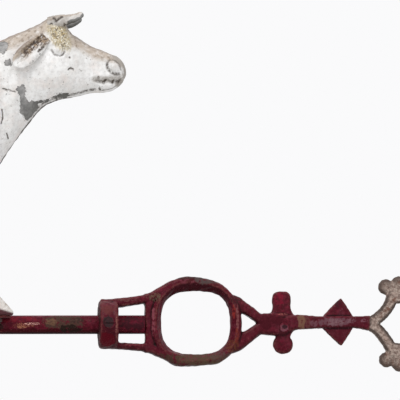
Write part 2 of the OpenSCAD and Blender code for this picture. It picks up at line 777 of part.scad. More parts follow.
// One leg as a skin of level rings, from the pastern up
module leg_form(line, side, wall) {
    last = len(line) - (wall > 0 ? 2 : 1);
    skin([for (i = [last:-1:0]) let (s = line[i])
        [for (p = rounded_loop(s[2] * stretch_x - wall, s[3] - wall, 2.1, leg_sides))
            [cow_x(s[1]) + p[0], side * stance + p[1], cow_z(s[0])]]]);
}

// One claw of a cloven hoof
module claw(x, y) {
    top_r = claw_w * 0.45;
    sole_r = claw_w / 2;
    hull() {
        translate([cow_x(x) - claw_len / 2 + sole_r, y, sole_z]) cylinder(h = claw_h * 0.4, r = sole_r, $fn = 12);
        translate([cow_x(x) + claw_len / 2 - sole_r, y, sole_z]) cylinder(h = claw_h * 0.4, r = sole_r, $fn = 12);
        translate([cow_x(x) - claw_len * 0.22, y, sole_z + claw_h]) sphere(r = top_r, $fn = 12);
    }
}

module cow_outside() {
    body_form(0);
    for (side = [-1, 1]) {
        leg_form(front_leg_line, side, 0);
        leg_form(hind_leg_line, side, 0);
        for (x = [front_hoof_x, hind_hoof_x], split = [-1, 1])
            claw(x, side * stance + split * (claw_w + cleft) / 2);
    }
}

module cow_cavity() {
    body_form(zinc_t);
    for (side = [-1, 1]) {
        leg_form(front_leg_line, side, zinc_t);
        leg_form(hind_leg_line, side, zinc_t);
    }
}

module cow_shell() {
    difference() {
        cow_outside();
        cow_cavity();
    }
}

// The block that takes in the inner half of one leg
module inner_leg_block(x, side) {
    span = 60;
    translate([cow_x(x) - span, side > 0 ? 0 : -stance, sole_z - over])
        cube([2 * span, stance, inner_leg_top * stretch_z + over]);
}

// One pressed half of the cow, less the inner halves of its two legs
module cow_half(side) {
    reach = cow_len + cow_h;
    color(WHITE) difference() {
        intersection() {
            cow_shell();
            translate([-reach, side > 0 ? 0 : -reach, 0]) cube([2 * reach, reach, 2 * reach]);
        }
        inner_leg_block(front_hoof_x, side);
        inner_leg_block(hind_hoof_x, side);
    }
}

module inner_leg(x, side) {
    color(WHITE) intersection() {
        cow_shell();
        inner_leg_block(x, side);
    }
}

module cow_right_half() cow_half(-1);
module cow_left_half() cow_half(1);
module front_right_inner_leg() inner_leg(front_hoof_x, -1);
module front_left_inner_leg() inner_leg(front_hoof_x, 1);
module hind_right_inner_leg() inner_leg(hind_hoof_x, -1);
module hind_left_inner_leg() inner_leg(hind_hoof_x, 1);

// Roots of the near ear and the near horn on the head, each [x, y, height]
ear_root = [167.5, 17, 237.5];
horn_root = [172.5, 7, 250.5];

// A row of balls joined in pairs, each [x, y, z, radius]
module string_of_balls(balls) {
    for (i = [0:len(balls) - 2]) hull() for (b = [balls[i], balls[i + 1]])
        translate([b[0], b[1], b[2]]) sphere(r = b[3], $fn = 16);
}

// Ear: a leaf that points back and down, cupped on its outer face
module ear(side) {
    root = [cow_x(ear_root[0]), side * ear_root[1] * stretch_y, cow_z(ear_root[2])];
    color(WHITE) difference() {
        translate(root) rotate([0, 0, -side * 20]) rotate([0, 138, 0]) difference() {
            hull() {
                translate([1, 0, 0]) scale([1, 0.8, 0.8]) sphere(r = ear_w * 0.24, $fn = 16);
                translate([ear_len * 0.5, 0, 0]) scale([1.1, 0.35, 1]) sphere(r = ear_w / 2, $fn = 20);
                translate([ear_len - 2, 0, 0]) sphere(r = 1.5, $fn = 12);
            }
            translate([ear_len * 0.5, side * ear_w * 0.3, 0]) scale([1.6, 0.5, 0.85])
                sphere(r = ear_w * 0.42, $fn = 20);
        }
        cow_outside();
    }
}

// Horn: grows out of the poll and turns forward and up
module horn(side) {
    root = [cow_x(horn_root[0]), side * horn_root[1] * stretch_y, cow_z(horn_root[2])];
    color(WHITE) difference() {
        string_of_balls([for (i = [0:5]) let (t = i / 5)
            [root[0] + horn_len * 0.88 * t, root[1] + side * 8 * sin(130 * t),
             root[2] + horn_len * (0.03 * sin(90 * t) + 0.19 * t ^ 4), horn_d / 2 * (1 - 0.42 * t ^ 3)]]);
        cow_outside();
    }
}

module right_ear() ear(-1);
module left_ear() ear(1);
module right_horn() horn(-1);
module left_horn() horn(1);

// Udder: a bag with four teats under the belly
module udder() {
    x = cow_x(-72);
    top = cow_z(104);
    teat_r = 3;
    color(WHITE) difference() {
        union() {
            hull() for (side = [-1, 1], step = [-1, 1])
                translate([x + step * 10, side * udder_w * 0.22, top - 8]) sphere(r = udder_w * 0.28, $fn = 20);
            for (side = [-1, 1], step = [-1, 1]) hull() {
                translate([x + step * 10, side * udder_w * 0.24, top - 14]) sphere(r = teat_r + 0.6, $fn = 12);
                translate([x + step * 11, side * udder_w * 0.26, top - 26]) sphere(r = teat_r * 0.75, $fn = 12);
            }
        }
        cow_outside();
    }
}

// Tail: hangs from the rump and ends in a switch
module cow_tail() {
    r = tail_d / 2;
    line = [[-128, 207, r], [-136, 204, r * 0.95], [-141, 192, r * 0.85], [-143, 170, r * 0.75],
        [-143.5, 145, r * 0.7], [-144, 118, r * 0.65], [-144, 95, r * 0.8], [-144, 76, r * 1.4],
        [-143, 58, r * 1.1], [-141, 42, r * 0.4]];
    color(WHITE) difference() {
        string_of_balls([for (p = line) [cow_x(p[0]), 0, cow_z(p[1]), p[2]]]);
        cow_outside();
    }
}

spindle();
thrust_collar();
thrust_collar_screw();
thrust_washer();
hub();
lower_bush();
upper_bush();
hub_cap();
hub_screws();
front_tube();
rear_tube();
ring_casting();
ring_screw();
arrow_shaft();
shaft_rivet();
arrow_tip();
tail_socket();
tail_screw();
tail_fin();
tail_rivets();
front_saddle();
rear_saddle();
front_strap();
rear_strap();
saddle_bolts();
saddle_nuts();
hoof_studs();
hoof_nuts();
cow_right_half();
cow_left_half();
front_right_inner_leg();
front_left_inner_leg();
hind_right_inner_leg();
hind_left_inner_leg();
right_ear();
left_ear();
right_horn();
left_horn();
udder();
cow_tail();
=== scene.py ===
import math

import bmesh
import bpy
import numpy as np
from mathutils import Matrix, Vector


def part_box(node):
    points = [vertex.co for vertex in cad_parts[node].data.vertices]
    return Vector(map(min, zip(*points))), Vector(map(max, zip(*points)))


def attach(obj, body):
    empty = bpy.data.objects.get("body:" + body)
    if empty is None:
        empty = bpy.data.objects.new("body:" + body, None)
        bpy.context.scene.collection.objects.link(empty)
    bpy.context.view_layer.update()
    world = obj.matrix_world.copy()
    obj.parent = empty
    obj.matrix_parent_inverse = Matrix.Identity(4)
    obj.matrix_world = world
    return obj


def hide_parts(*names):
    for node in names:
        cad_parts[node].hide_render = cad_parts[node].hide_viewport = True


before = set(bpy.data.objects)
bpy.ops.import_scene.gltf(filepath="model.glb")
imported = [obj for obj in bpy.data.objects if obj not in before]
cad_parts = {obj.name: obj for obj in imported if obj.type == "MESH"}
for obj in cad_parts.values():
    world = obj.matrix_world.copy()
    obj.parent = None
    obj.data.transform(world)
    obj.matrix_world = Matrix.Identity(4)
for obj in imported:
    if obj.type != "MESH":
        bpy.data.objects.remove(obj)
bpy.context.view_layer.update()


# Camera: a long lens three metres from the arrow's head, a little below it and to its left, so the
# left face of the ring casting's collar and the undersides of the castings just show.
def put(name, data):
    """A new object in the scene, at the origin."""
    thing = bpy.data.objects.new(name, data)
    scene.collection.objects.link(thing)
    return thing


scene = bpy.context.scene
camera = put("camera", bpy.data.cameras.new("camera"))
scene.camera = camera
camera.data.sensor_width = 36.0
camera.data.lens = 313.4
camera.data.clip_end = 50.0
around, above, roll = (math.radians(degrees) for degrees in (-5.0, -5.5, -0.39))
back = Vector((math.sin(around) * math.cos(above), -math.cos(around) * math.cos(above), math.sin(above)))
aim, distance = Vector((0.3016, 0.0, 0.3074)), 3.0
camera.location = aim + back * distance
upright = back.to_track_quat("Z", "Y").to_matrix()
camera.rotation_euler = (upright @ Matrix.Rotation(roll, 3, "Z")).to_euler()


# Studio: a pale floor under the vane's foot, a white surround that the camera and the metal see, a
# softer light from it that is stronger from above, and two wide soft lamps, the stronger on the left.
def linear(code):
    """An sRGB hex colour as linear red, green, blue and alpha: each part v becomes v / 12.92 when it is
    small, and otherwise ((v + 0.055) / 1.055) ^ 2.4."""
    parts = [int(code[i : i + 2], 16) / 255 for i in (1, 3, 5)]
    return tuple(v / 12.92 if v < 0.04045 else ((v + 0.055) / 1.055) ** 2.4 for v in parts) + (1.0,)


def feed(node, inputs):
    """Give a node's inputs a plain value, an sRGB hex colour or another node's output."""
    for key, value in inputs.items():
        if isinstance(value, bpy.types.NodeSocket):
            node.id_data.links.new(value, node.inputs[key])
        else:
            node.inputs[key].default_value = linear(value) if isinstance(value, str) else value


def add(tree, kind, inputs=None, out=0, **settings):
    """Add one shader node with its inputs and its own switches, and hand back the output asked for."""
    node = tree.nodes.new("ShaderNode" + kind)
    for name, value in settings.items():
        setattr(node, name, value)
    feed(node, inputs or {})
    return node.outputs[out] if node.outputs else None


world = bpy.data.worlds.new("studio")
scene.world = world
world.use_nodes = True
sky = world.node_tree
sky.nodes.clear()
seen = 0.0
for ray in ("Is Camera Ray", "Is Glossy Ray", "Is Transmission Ray"):
    seen = add(sky, "Math", {0: seen, 1: add(sky, "LightPath", out=ray)}, operation="MAXIMUM")
way = add(sky, "SeparateXYZ", {0: add(sky, "TexCoord", out="Generated")}, "Z")
level = add(sky, "MapRange", {0: way, 1: -0.3, 2: 0.9, 3: 0.32, 4: 0.98})
glow = add(sky, "Background", {"Color": "#F2F3F6", "Strength": level})
white = add(sky, "Background", {"Color": "#FAFAFB", "Strength": 1.0})
add(sky, "OutputWorld", {"Surface": add(sky, "MixShader", {0: seen, 1: glow, 2: white})})
scene.view_settings.view_transform = "Standard"

lit_middle = Vector((0.15, 0.0, 0.30))
for name, place, power, size in (
    ("key_lamp", (-0.50, -1.05, 2.00), 24.0, 1.2),
    ("fill_lamp", (1.00, -1.80, 0.70), 6.0, 1.4),
):
    lamp = put(name, bpy.data.lights.new(name, "AREA"))
    lamp.data.energy = power
    lamp.data.size = size
    lamp.location = place
    lamp.rotation_euler = (Vector(place) - lit_middle).to_track_quat("Z", "Y").to_euler()

reach = 6.0
floor_mesh = bpy.data.meshes.new("floor")
corners = [(-reach, -reach, 0), (reach, -reach, 0), (reach, reach, 0), (-reach, reach, 0)]
floor_mesh.from_pydata(corners, [], [(0, 1, 2, 3)])
put("floor", floor_mesh)
paper = bpy.data.materials.new("pale_paper_floor")
paper.use_nodes = True
feed(paper.node_tree.nodes["Principled BSDF"], {"Base Color": "#E2E2E0", "Roughness": 0.9})
floor_mesh.materials.append(paper)


# Fixed mast: a drawn steel spindle with its locked thrust collar and set screw, and the vane's own
# screws, bolts and nuts, which are browned by rust and painted darker still as shade, since most of
# them sit under the saddles and hooves. Drawn steel is grey and faintly streaked.
def speckle(tree, place, grain, low, high, most=1.0):
    """A mask of patches about grain millimetres wide: noise stretched so that low becomes 0 and high
    becomes most, which is a number or another mask."""
    noise = add(tree, "TexNoise", {"Vector": place, "Scale": 1000 / grain, "Detail": 4.0, "Roughness": 0.6})
    return add(tree, "MapRange", {0: noise, 1: low, 2: high, 4: most})


def start_material(name):
    """A new material, with its node tree, its shader and its Object coordinates."""
    material = bpy.data.materials.new(name)
    material.use_nodes = True
    tree = material.node_tree
    return material, tree, tree.nodes["Principled BSDF"], add(tree, "TexCoord", out="Object")


def finish_node(name, material):
    """Give a carried-over CAD piece its material."""
    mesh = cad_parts[name].data
    mesh.materials.clear()
    mesh.materials.append(material)


for name, dark, light, spotted, metallic, nodes in (
    ("drawn_steel_dulled", "#8F8D8B", "#A5A3A0", "#6B6059", 1.0,
     ("spindle", "thrust_collar", "thrust_collar_screw")),
    # Rust brown, and painted darker as shade.
    ("browned_and_shaded_steel_of_fasteners", "#3A3230", "#4E4340", "#553A2E", 0.4,
     ("hub_screws", "saddle_bolts", "saddle_nuts", "hoof_studs", "hoof_nuts")),
):
    steel, tree, shader, place = start_material(name)
    drawn_out = add(tree, "Mapping", {0: place, 3: (1.0, 1.0, 0.06)})
    streak = speckle(tree, drawn_out, 1.2, 0.3, 0.7)
    spots = speckle(tree, place, 5.0, 0.55, 0.7)
    tone = dark
    for mask, colour in ((streak, light), (spots, spotted)):
        tone = add(tree, "Mix", {0: mask, 6: tone, 7: colour}, 2, data_type="RGBA")
    rough = add(tree, "MapRange", {0: spots, 3: 0.34, 4: 0.6})
    bump = add(tree, "Bump", {"Height": streak, "Strength": 0.25, "Distance": 0.0001})
    feed(shader, {"Base Color": tone, "Metallic": metallic, "Roughness": rough, "Normal": bump})
    for node in nodes:
        finish_node(node, steel)

# Washer and bushes: turned brass under sintered bronze, which is darker. Turning leaves fine rings,
# here almost 4 mm apart, far coarser than real ones so that they show.
ring_gap = 3.77
for name, light, dark, nodes in (
    ("turned_brass", "#B8954F", "#8A6C36", ("thrust_washer",)),
    ("oiled_bronze", "#94703F", "#6A4C2C", ("lower_bush", "upper_bush")),
):
    metal, tree, shader, place = start_material(name)
    # The wave node makes a ring in every 2 pi / (20 x its scale) metres.
    scale = 2 * math.pi / 20 * 1000 / ring_gap
    rings = add(tree, "TexWave", {"Vector": place, "Scale": scale, "Distortion": 0.4}, "Fac",
                wave_type="RINGS", rings_direction="Z")
    stain = speckle(tree, place, 6.0, 0.4, 0.7)
    tone = add(tree, "Mix", {0: stain, 6: light, 7: dark}, 2, data_type="RGBA")
    bump = add(tree, "Bump", {"Height": rings, "Strength": 0.2, "Distance": 0.0001})
    feed(shader, {"Base Color": tone, "Metallic": 1.0, "Roughness": 0.36, "Normal": bump})
    for node in nodes:
        finish_node(node, metal)


# Hub: a cast-iron cross with two tube sockets, painted dark red. A casting has rounded edges, a
# slightly lumpy skin and paint that is worn to brown on its edges. Its corners and the faces that look
# down are painted darker as shade, and the faces that look up paler as painted light.
def red_paint(name, spots=(), shine=0.07):
    """Old red oil paint on cast iron: maroon with brown and dark wear, and semi-gloss, so ridges carry soft
    light streaks. Painted shade makes faces that look down darker and corners near black, and painted
    light, with some bleaching, makes faces that look up paler and pinker. Each spot is its centre and
    radii in millimetres, its colour, its flecks' size, and the share that they cover; some spots are
    painted highlights and some painted shade. Shine is the specular level, low because the film is thin
    and weathered."""
    material, tree, shader, place = start_material(name)
    edge, under = (add(tree, "Attribute", out="Fac", attribute_name=key) for key in ("edge", "under"))
    bleached_and_lit_top = add(tree, "MapRange", {0: under, 1: -0.35, 2: -0.95, 4: 0.55})
    frayed = speckle(tree, place, 2.2, 0.34, 0.62, edge)
    worn = add(tree, "MapRange", {0: frayed, 1: 0.12, 2: 0.42, 4: 0.6})
    coats = [
        (speckle(tree, place, 14.0, 0.38, 0.62), "#621728"),
        (speckle(tree, place, 2.6, 0.62, 0.40), "#470B18"),
        (speckle(tree, place, 7.0, 0.50, 0.72, 0.32), "#532D36"),
        (speckle(tree, place, 4.6, 0.58, 0.70, 0.55), "#3A1B18"),
        # Painted shade: darker on faces that look down.
        (add(tree, "MapRange", {0: under, 1: 0.10, 2: 0.75, 4: 0.72}), "#26040A"),
        # Painted light, with some bleaching: paler and pinker on faces that look up.
        (speckle(tree, place, 5.0, 0.30, 0.62, bleached_and_lit_top), "#7A4448"),
        (worn, "#6E3F3B"),
        # Painted shade, with dirt: near black in the corners.
        (add(tree, "MapRange", {0: edge, 1: -0.06, 2: -0.40}), "#1C0508"),
    ]
    lost = worn
    for centre, radii, colour, grain, cover in spots:
        centre, radii = ([number / 1000 for number in three] for three in (centre, radii))
        away = add(tree, "Mapping", {0: place, 1: centre, 3: radii}, vector_type="TEXTURE")
        away = add(tree, "VectorMath", {0: away}, "Value", operation="LENGTH")
        near = add(tree, "MapRange", {0: away, 1: 1.15, 2: 0.65, 4: cover})
        near = add(tree, "Math", {0: speckle(tree, place, grain, 0.30, 0.70), 1: near}, operation="ADD")
        here = add(tree, "MapRange", {0: near, 1: 0.90, 2: 1.25, 4: 0.85})
        coats.append((here, colour))
        lost = add(tree, "Math", {0: lost, 1: here}, operation="MAXIMUM")
    tone = "#4B0E1C"
    for mask, colour in coats:
        tone = add(tree, "Mix", {0: mask, 6: tone, 7: colour}, 2, data_type="RGBA")
    rough = add(tree, "MapRange", {0: lost, 3: 0.30, 4: 0.58})
    lumps = add(tree, "TexNoise", {"Vector": place, "Scale": 1000 / 4.5, "Detail": 4.0})
    pits = speckle(tree, place, 1.0, 0.62, 0.72)
    height = add(tree, "Math", {0: pits, 1: -0.35, 2: lumps}, operation="MULTIPLY_ADD")
    bump = add(tree, "Bump", {"Height": height, "Strength": 0.4, "Distance": 0.0007})
    feed(shader, {"Base Color": tone, "Roughness": rough, "Specular IOR Level": shine, "Normal": bump})
    return material


def read_points(mesh):
    """The mesh's points in millimetres, as rows of x, y, z."""
    points = np.empty(len(mesh.vertices) * 3)
    mesh.vertices.foreach_get("co", points)
    return points.reshape(-1, 3) * 1000


def read_normals(mesh):
    """The mesh's unit normals at its points."""
    normals = np.empty(len(mesh.vertices) * 3, np.float32)
    mesh.vertex_normals.foreach_get("vector", normals)
    return normals.reshape(-1, 3)


def move_points(mesh, points):
    """Move the mesh's points to these places, in millimetres."""
    mesh.vertices.foreach_set("co", (points / 1000).ravel())
    mesh.update()


def keep(mesh, name, values):
    """Store one number a point on the mesh, for its material to read."""
    attribute = mesh.attributes.get(name) or mesh.attributes.new(name, "FLOAT", "POINT")
    attribute.data.foreach_set("value", np.asarray(values, np.float32))


def neighbours(values, ends):
    """At each point, the mean of the values at the points that share an edge with it."""
    total = np.empty_like(values)
    for k in range(values.shape[1]):
        total[:, k] = (np.bincount(ends[:, 0], values[ends[:, 1], k], len(values))
                       + np.bincount(ends[:, 1], values[ends[:, 0], k], len(values)))
    return total / np.maximum(np.bincount(ends.ravel(), minlength=len(values)), 1)[:, None]


def cast_skin(piece, grain, rounds, gain=8, evening=4):
    """Remesh a piece, whose closed surfaces may cross, to one skin of squares grain millimetres wide. Then
    move each point half-way to its neighbours' mean, rounds times, so corners come out round. The mesh
    keeps "edge": gain times how far a point stands above its neighbours' mean, over grain, evened out
    evening times, so ridges are above 0 and corners below, and "under": how much a point faces down."""
    remesh = piece.modifiers.new("skin", "REMESH")
    remesh.mode = "VOXEL"
    remesh.voxel_size = grain / 1000
    made = bpy.data.meshes.new_from_object(piece.evaluated_get(bpy.context.evaluated_depsgraph_get()))
    piece.modifiers.clear()
    old, piece.data = piece.data, made
    bpy.data.meshes.remove(old)
    made.name = piece.name
    points = read_points(made)
    ends = np.empty(len(made.edges) * 2, np.int32)
    made.edges.foreach_get("vertices", ends)
    ends = ends.reshape(-1, 2)
    for _ in range(rounds):
        points = (points + neighbours(points, ends)) / 2
    move_points(made, points)
    normals = read_normals(made)
    rise = ((points - neighbours(points, ends)) * normals).sum(1, keepdims=True) / grain
    for _ in range(evening):
        rise = (rise + neighbours(rise, ends)) / 2
    keep(made, "edge", rise[:, 0] * gain)
    keep(made, "under", -normals[:, 2])
    made.shade_smooth()


def roughen(piece, grain, height, seed):
    """Move each point along its normal by height / 2.2 millimetres times a sum of five waves about grain
    millimetres long, in directions drawn from seed: the lumpy skin that sand leaves on a casting."""
    draw = np.random.default_rng(seed)
    points, normals = read_points(piece.data), read_normals(piece.data)
    way = draw.normal(size=(5, 3))
    way *= 2 * np.pi / grain / np.linalg.norm(way, axis=1, keepdims=True) * draw.uniform(0.6, 1.6, (5, 1))
    lumps = np.sin(points @ way.T + draw.uniform(0, 6.3, 5)).sum(1) / 2.2
    move_points(piece.data, points + normals * (height * lumps)[:, None])


def cast_copy(name, grain, rounds):
    """A casting made from the CAD piece of that name: its shape, with its edges rounded as in a mould."""
    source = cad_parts[name].data.copy()
    loose = bmesh.new()
    loose.from_mesh(source)
    bmesh.ops.remove_doubles(loose, verts=loose.verts, dist=0.00001)
    loose.to_mesh(source)
    loose.free()
    piece = put(name + "_casting", source)
    cast_skin(piece, grain, rounds)
    piece.data.materials.clear()
    return piece


def settle(piece, body, slot, material, *nodes):
    """Say what a piece rides on, what it is finished with, and which CAD pieces it stands for."""
    piece.data.materials.append(material)
    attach(piece, body)
    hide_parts(*nodes)


hub_paint = red_paint("red_oil_paint_on_hub", [((0, -13, 222), (15, 9, 7), "#5A463C", 3.0, 0.7)])
hub = cast_copy("hub", grain=0.8, rounds=5)
roughen(hub, grain=7.0, height=0.10, seed=3)
settle(hub, "vane", "red_paint", hub_paint, "hub")
finish_node("hub_cap", hub_paint)

# Tubes: plain 16 mm iron tube, painted. The front one is rubbed to brown-black in the middle of its
# bare stretch, and flaked to a tan scratch just before the hoof. Both are painted darker along their
# undersides as shade, and the front one paler along its top as painted light.
front_paint = red_paint("red_oil_paint_on_front_tube", [
    # Painted shade along the underside, in two spots, then a painted highlight along the top.
    ((150, -2, 190), (120, 14, 7.5), "#34040C", 9.0, 1.3),
    ((150, -2, 190), (120, 14, 4.0), "#1E0207", 9.0, 1.3),
    ((150, -2, 209), (120, 14, 3.0), "#73414A", 8.0, 0.62),
    ((140, -6, 204), (26, 9, 3.5), "#6C1A26", 6.0, 0.7),
    ((183, -7, 202), (21, 9, 8), "#43342B", 4.0, 0.85),
    ((189, -8, 195.6), (11, 7, 4.4), "#1A110D", 4.0, 0.9),
    ((195, -8, 203.5), (8, 7, 3), "#34221F", 2.5, 0.7),
    ((173, -8, 202), (7, 6, 3.4), "#654A38", 2.0, 0.66),
    ((149.5, -8, 199.0), (10, 4, 2.8), "#A66C54", 1.0, 0.50),
    ((156, -8, 200.4), (9, 4, 1.4), "#CFA195", 1.0, 0.54),
    ((147, -8, 197.6), (5, 4, 1.6), "#94604A", 1.2, 0.6),
    ((126, -8, 200), (8, 7, 7), "#241714", 3.0, 0.8),
    ((243, -8, 200), (13, 9, 9), "#33131A", 4.0, 0.7),
], shine=0.05)
rear_paint = red_paint("red_oil_paint_on_rear_tube", [
    # Painted shade along the underside.
    ((-170, -2, 189.5), (160, 14, 5.5), "#2A050A", 9.0, 0.9),
    ((-170, -7, 203), (26, 9, 7), "#43342B", 4.0, 0.8),
    ((-60, -8, 198), (16, 6, 4), "#34221F", 3.0, 0.8),
], shine=0.05)
finish_node("front_tube", front_paint)
finish_node("rear_tube", rear_paint)


# Ring casting: one iron casting of collar, two yoke arms, an open ring, a forked neck and two lobes.
# It slides on the tube and is locked by one screw. Every edge is round from the sand mould.
def flow(stations, values, at):
    """A smooth curve through values at stations, read at the places at: on each stretch a cubic whose end
    slopes are the slopes between the neighbours on both sides."""
    stations, values, at = np.asarray(stations, float), np.asarray(values, float), np.asarray(at, float)
    slopes = np.gradient(values, stations, axis=0)
    i = np.clip(np.searchsorted(stations, at, side="right") - 1, 0, len(stations) - 2)
    step = stations[i + 1] - stations[i]
    t = (at - stations[i]) / step
    shape = at.shape + (1,) * (values.ndim - 1)
    t, step = t.reshape(shape), step.reshape(shape)
    return ((2 * t**3 - 3 * t**2 + 1) * values[i] + (t**3 - 2 * t**2 + t) * step * slopes[i]
            + (3 * t**2 - 2 * t**3) * values[i + 1] + (t**3 - t**2) * step * slopes[i + 1])


def fade(distance, width, power=2):
    """How a soft mark falls off: exp(-|distance / width| ^ power), which is 1 at its middle."""
    return np.exp(-np.abs(distance / width) ** power)


def unit(ways):
    """The same directions, each 1 long."""
    return ways / np.linalg.norm(ways, axis=-1, keepdims=True)


def lengths_along(path):
    """How far along a path of straight stretches each of its points lies."""
    return np.concatenate([[0], np.cumsum(np.linalg.norm(np.diff(path, axis=0), axis=1))])


def grid(x, y, z):
    """Rows of points from x, y and z, each repeated to the shape of all three together."""
    return np.stack(np.broadcast_arrays(x, y, z), -1)


def rounded(half_a, half_b, power, sides):
    """Rounded loops, |a / half_a| ^ power + |b / half_b| ^ power = 1, one for each pair of half widths."""
    turn = np.linspace(0, 2 * np.pi, sides, endpoint=False)
    cos, sin = np.cos(turn), np.sin(turn)
    a = np.sign(cos) * np.abs(cos) ** (2 / power)
    b = np.sign(sin) * np.abs(sin) ** (2 / power)
    return np.stack([np.outer(half_a, a), np.outer(half_b, b)], -1)


def solid(rings, closed=False):
    """Points and faces of the skin over rings (count x sides x 3): squares join each ring to the next, and
    triangles join the end rings to their middles, or the last ring joins the first when closed. The faces
    point outwards: they are turned round if the sum of their tetrahedra from the origin is negative."""
    count, sides = rings.shape[:2]
    i, j = np.meshgrid(np.arange(count if closed else count - 1), np.arange(sides), indexing="ij")
    k, n = (j + 1) % sides, (i + 1) % count
    squares = np.stack([i * sides + j, i * sides + k, n * sides + k, n * sides + j], -1).reshape(-1, 4)
    points = rings.reshape(-1, 3)
    j = np.arange(sides)
    k = (j + 1) % sides
    ends = np.empty((0, 3), int)
    if not closed:
        last = (count - 1) * sides
        points = np.vstack([points, rings[0].mean(0), rings[-1].mean(0)])
        first_end = np.stack([np.full(sides, count * sides), k, j], -1)
        last_end = np.stack([np.full(sides, count * sides + 1), last + j, last + k], -1)
        ends = np.vstack([first_end, last_end])
    corners = np.vstack([squares[:, [0, 1, 2]], squares[:, [0, 2, 3]], ends])
    a, b, c = (points[corners[:, m]] for m in range(3))
    if (np.cross(a, b) * c).sum() < 0:
        squares, ends = squares[:, ::-1], ends[:, ::-1]
    return points, squares, ends


def join(name, parts):
    """One object of several skins, each with points in millimetres, squares and triangles."""
    faces, first = [], 0
    for points, squares, ends in parts:
        faces += (squares + first).tolist() + (ends + first).tolist()
        first += len(points)
    mesh = bpy.data.meshes.new(name)
    mesh.from_pydata(np.vstack([points for points, _, _ in parts]) / 1000, [], faces)
    mesh.update()
    return put(name, mesh)


def bar(path, halves, depths, power=3.0, sides=40, gap=1.0):
    """A bar in the arrow's plane: a rounded loop carried square to a smooth path of (x, z) points, with its
    half heights and half depths flowing from point to point. Rings lie gap millimetres apart."""
    along = lengths_along(path)
    at = np.linspace(0, along[-1], max(4, int(along[-1] / gap)))
    line = flow(along, path, at)
    way = unit(np.gradient(line, axis=0))
    high, deep = (flow(along, np.broadcast_to(sizes, len(path)), at) for sizes in (halves, depths))
    loops = rounded(high, deep, power, sides)
    return solid(grid(line[:, :1] - way[:, 1:] * loops[..., 0], loops[..., 1],
                      line[:, 1:] + way[:, :1] * loops[..., 0]))


def lobe(centre, radii, power=2.6, sides=48, count=25, plan=2.0):
    """A flattened round pad: rounded loops of that plan power in the arrow's plane, whose size shrinks from
    the middle towards both faces as (1 - |depth| ^ power) ^ (1 / power)."""
    depth = np.sin(np.linspace(-np.pi / 2, np.pi / 2, count)[1:-1])
    size = (1 - np.abs(depth) ** power) ** (1 / power)
    loops = rounded(size * radii[0], size * radii[2], plan, sides)
    x, y, z = centre
    return solid(grid(x + loops[..., 0], y + radii[1] * depth[:, None], z + loops[..., 1]))


def box_of(name):
    """A CAD piece's box in millimetres: its lowest x, y and z, then its highest."""
    return np.round(np.array(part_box(name)) * 1000, 4)


# The collar: a rounded section with a groove before its bead, carried once round the tube.
axis = box_of("front_tube")[:, 2].mean()
collar_x, collar_radius, collar_half, collar_wall = 222.0, 14.65, 8.0, 6.35
turn = np.linspace(0, 2 * np.pi, 120, endpoint=False)[:, None]
section = rounded([collar_half], [collar_wall], 6.0, 60)[0]
section[:, 0] -= 0.9 * (section[:, 0] < -3) * np.clip((5 - section[:, 1]) / 9, 0, 1) ** 0.7
groove = 0.9 * fade(section[:, 0] - 3.2, 0.9) * (section[:, 1] > 0)
radius = collar_radius + section[:, 1] - groove
collar = solid(grid(collar_x + section[:, 0], radius * np.cos(turn), axis + radius * np.sin(turn)),
               closed=True)
# The ring: the bar between its outer outline and its round-cornered opening is 17 deep. Its faces
# slope back to the opening, and a bead runs round it half-way.
middle = np.array([297.0, 201.5])
half_length, half_height, corner, half_depth = 29.5, 27.0, 2.8, 8.4
outline = np.array([
    (336.9, 201.5), (334.8, 213), (330.8, 222.5), (322.9, 231.8), (313, 237.4), (301.4, 240.1), (290, 241.1),
    (280, 239), (268, 229), (260.5, 217), (258.6, 201.5), (260.5, 187), (267, 174), (278.5, 164.9),
    (292.6, 164.2), (306.4, 165.2), (317, 166.8), (322.6, 170.4), (329.6, 177), (334.8, 188)]) - middle
spokes = np.arctan2(outline[:, 1], outline[:, 0]) % (2 * np.pi)
reach = np.hypot(*outline.T)
turn = np.linspace(0, 2 * np.pi, 220, endpoint=False)
outer = flow(np.concatenate([spokes[-3:] - 2 * np.pi, spokes, spokes[:3] + 2 * np.pi]),
             np.concatenate([reach[-3:], reach, reach[:3]]), turn)[:, None]
turn = turn[:, None]
inner = np.abs(np.cos(turn) / half_length) ** corner + np.abs(np.sin(turn) / half_height) ** corner
inner = inner ** (-1 / corner)
out, deep = rounded([1.0], [1.0], 3.2, 72)[0].T
radial = (outer + inner) / 2 + (outer - inner) / 2 * out
slope = 1 - 0.62 * np.clip(0.16 - out, 0, 1.2) ** 1.1
bead = 0.085 * fade(out - 0.12, 0.13) - 0.05 * fade(out - 0.42, 0.13)
ring = solid(grid(middle[0] + radial * np.cos(turn), half_depth * deep * (slope + bead),
                  middle[1] + radial * np.sin(turn)), closed=True)
yoke_depths = [6.4, 6.4, 6.4, 6.5, 6.8, 7.2, 7.2, 6.0]
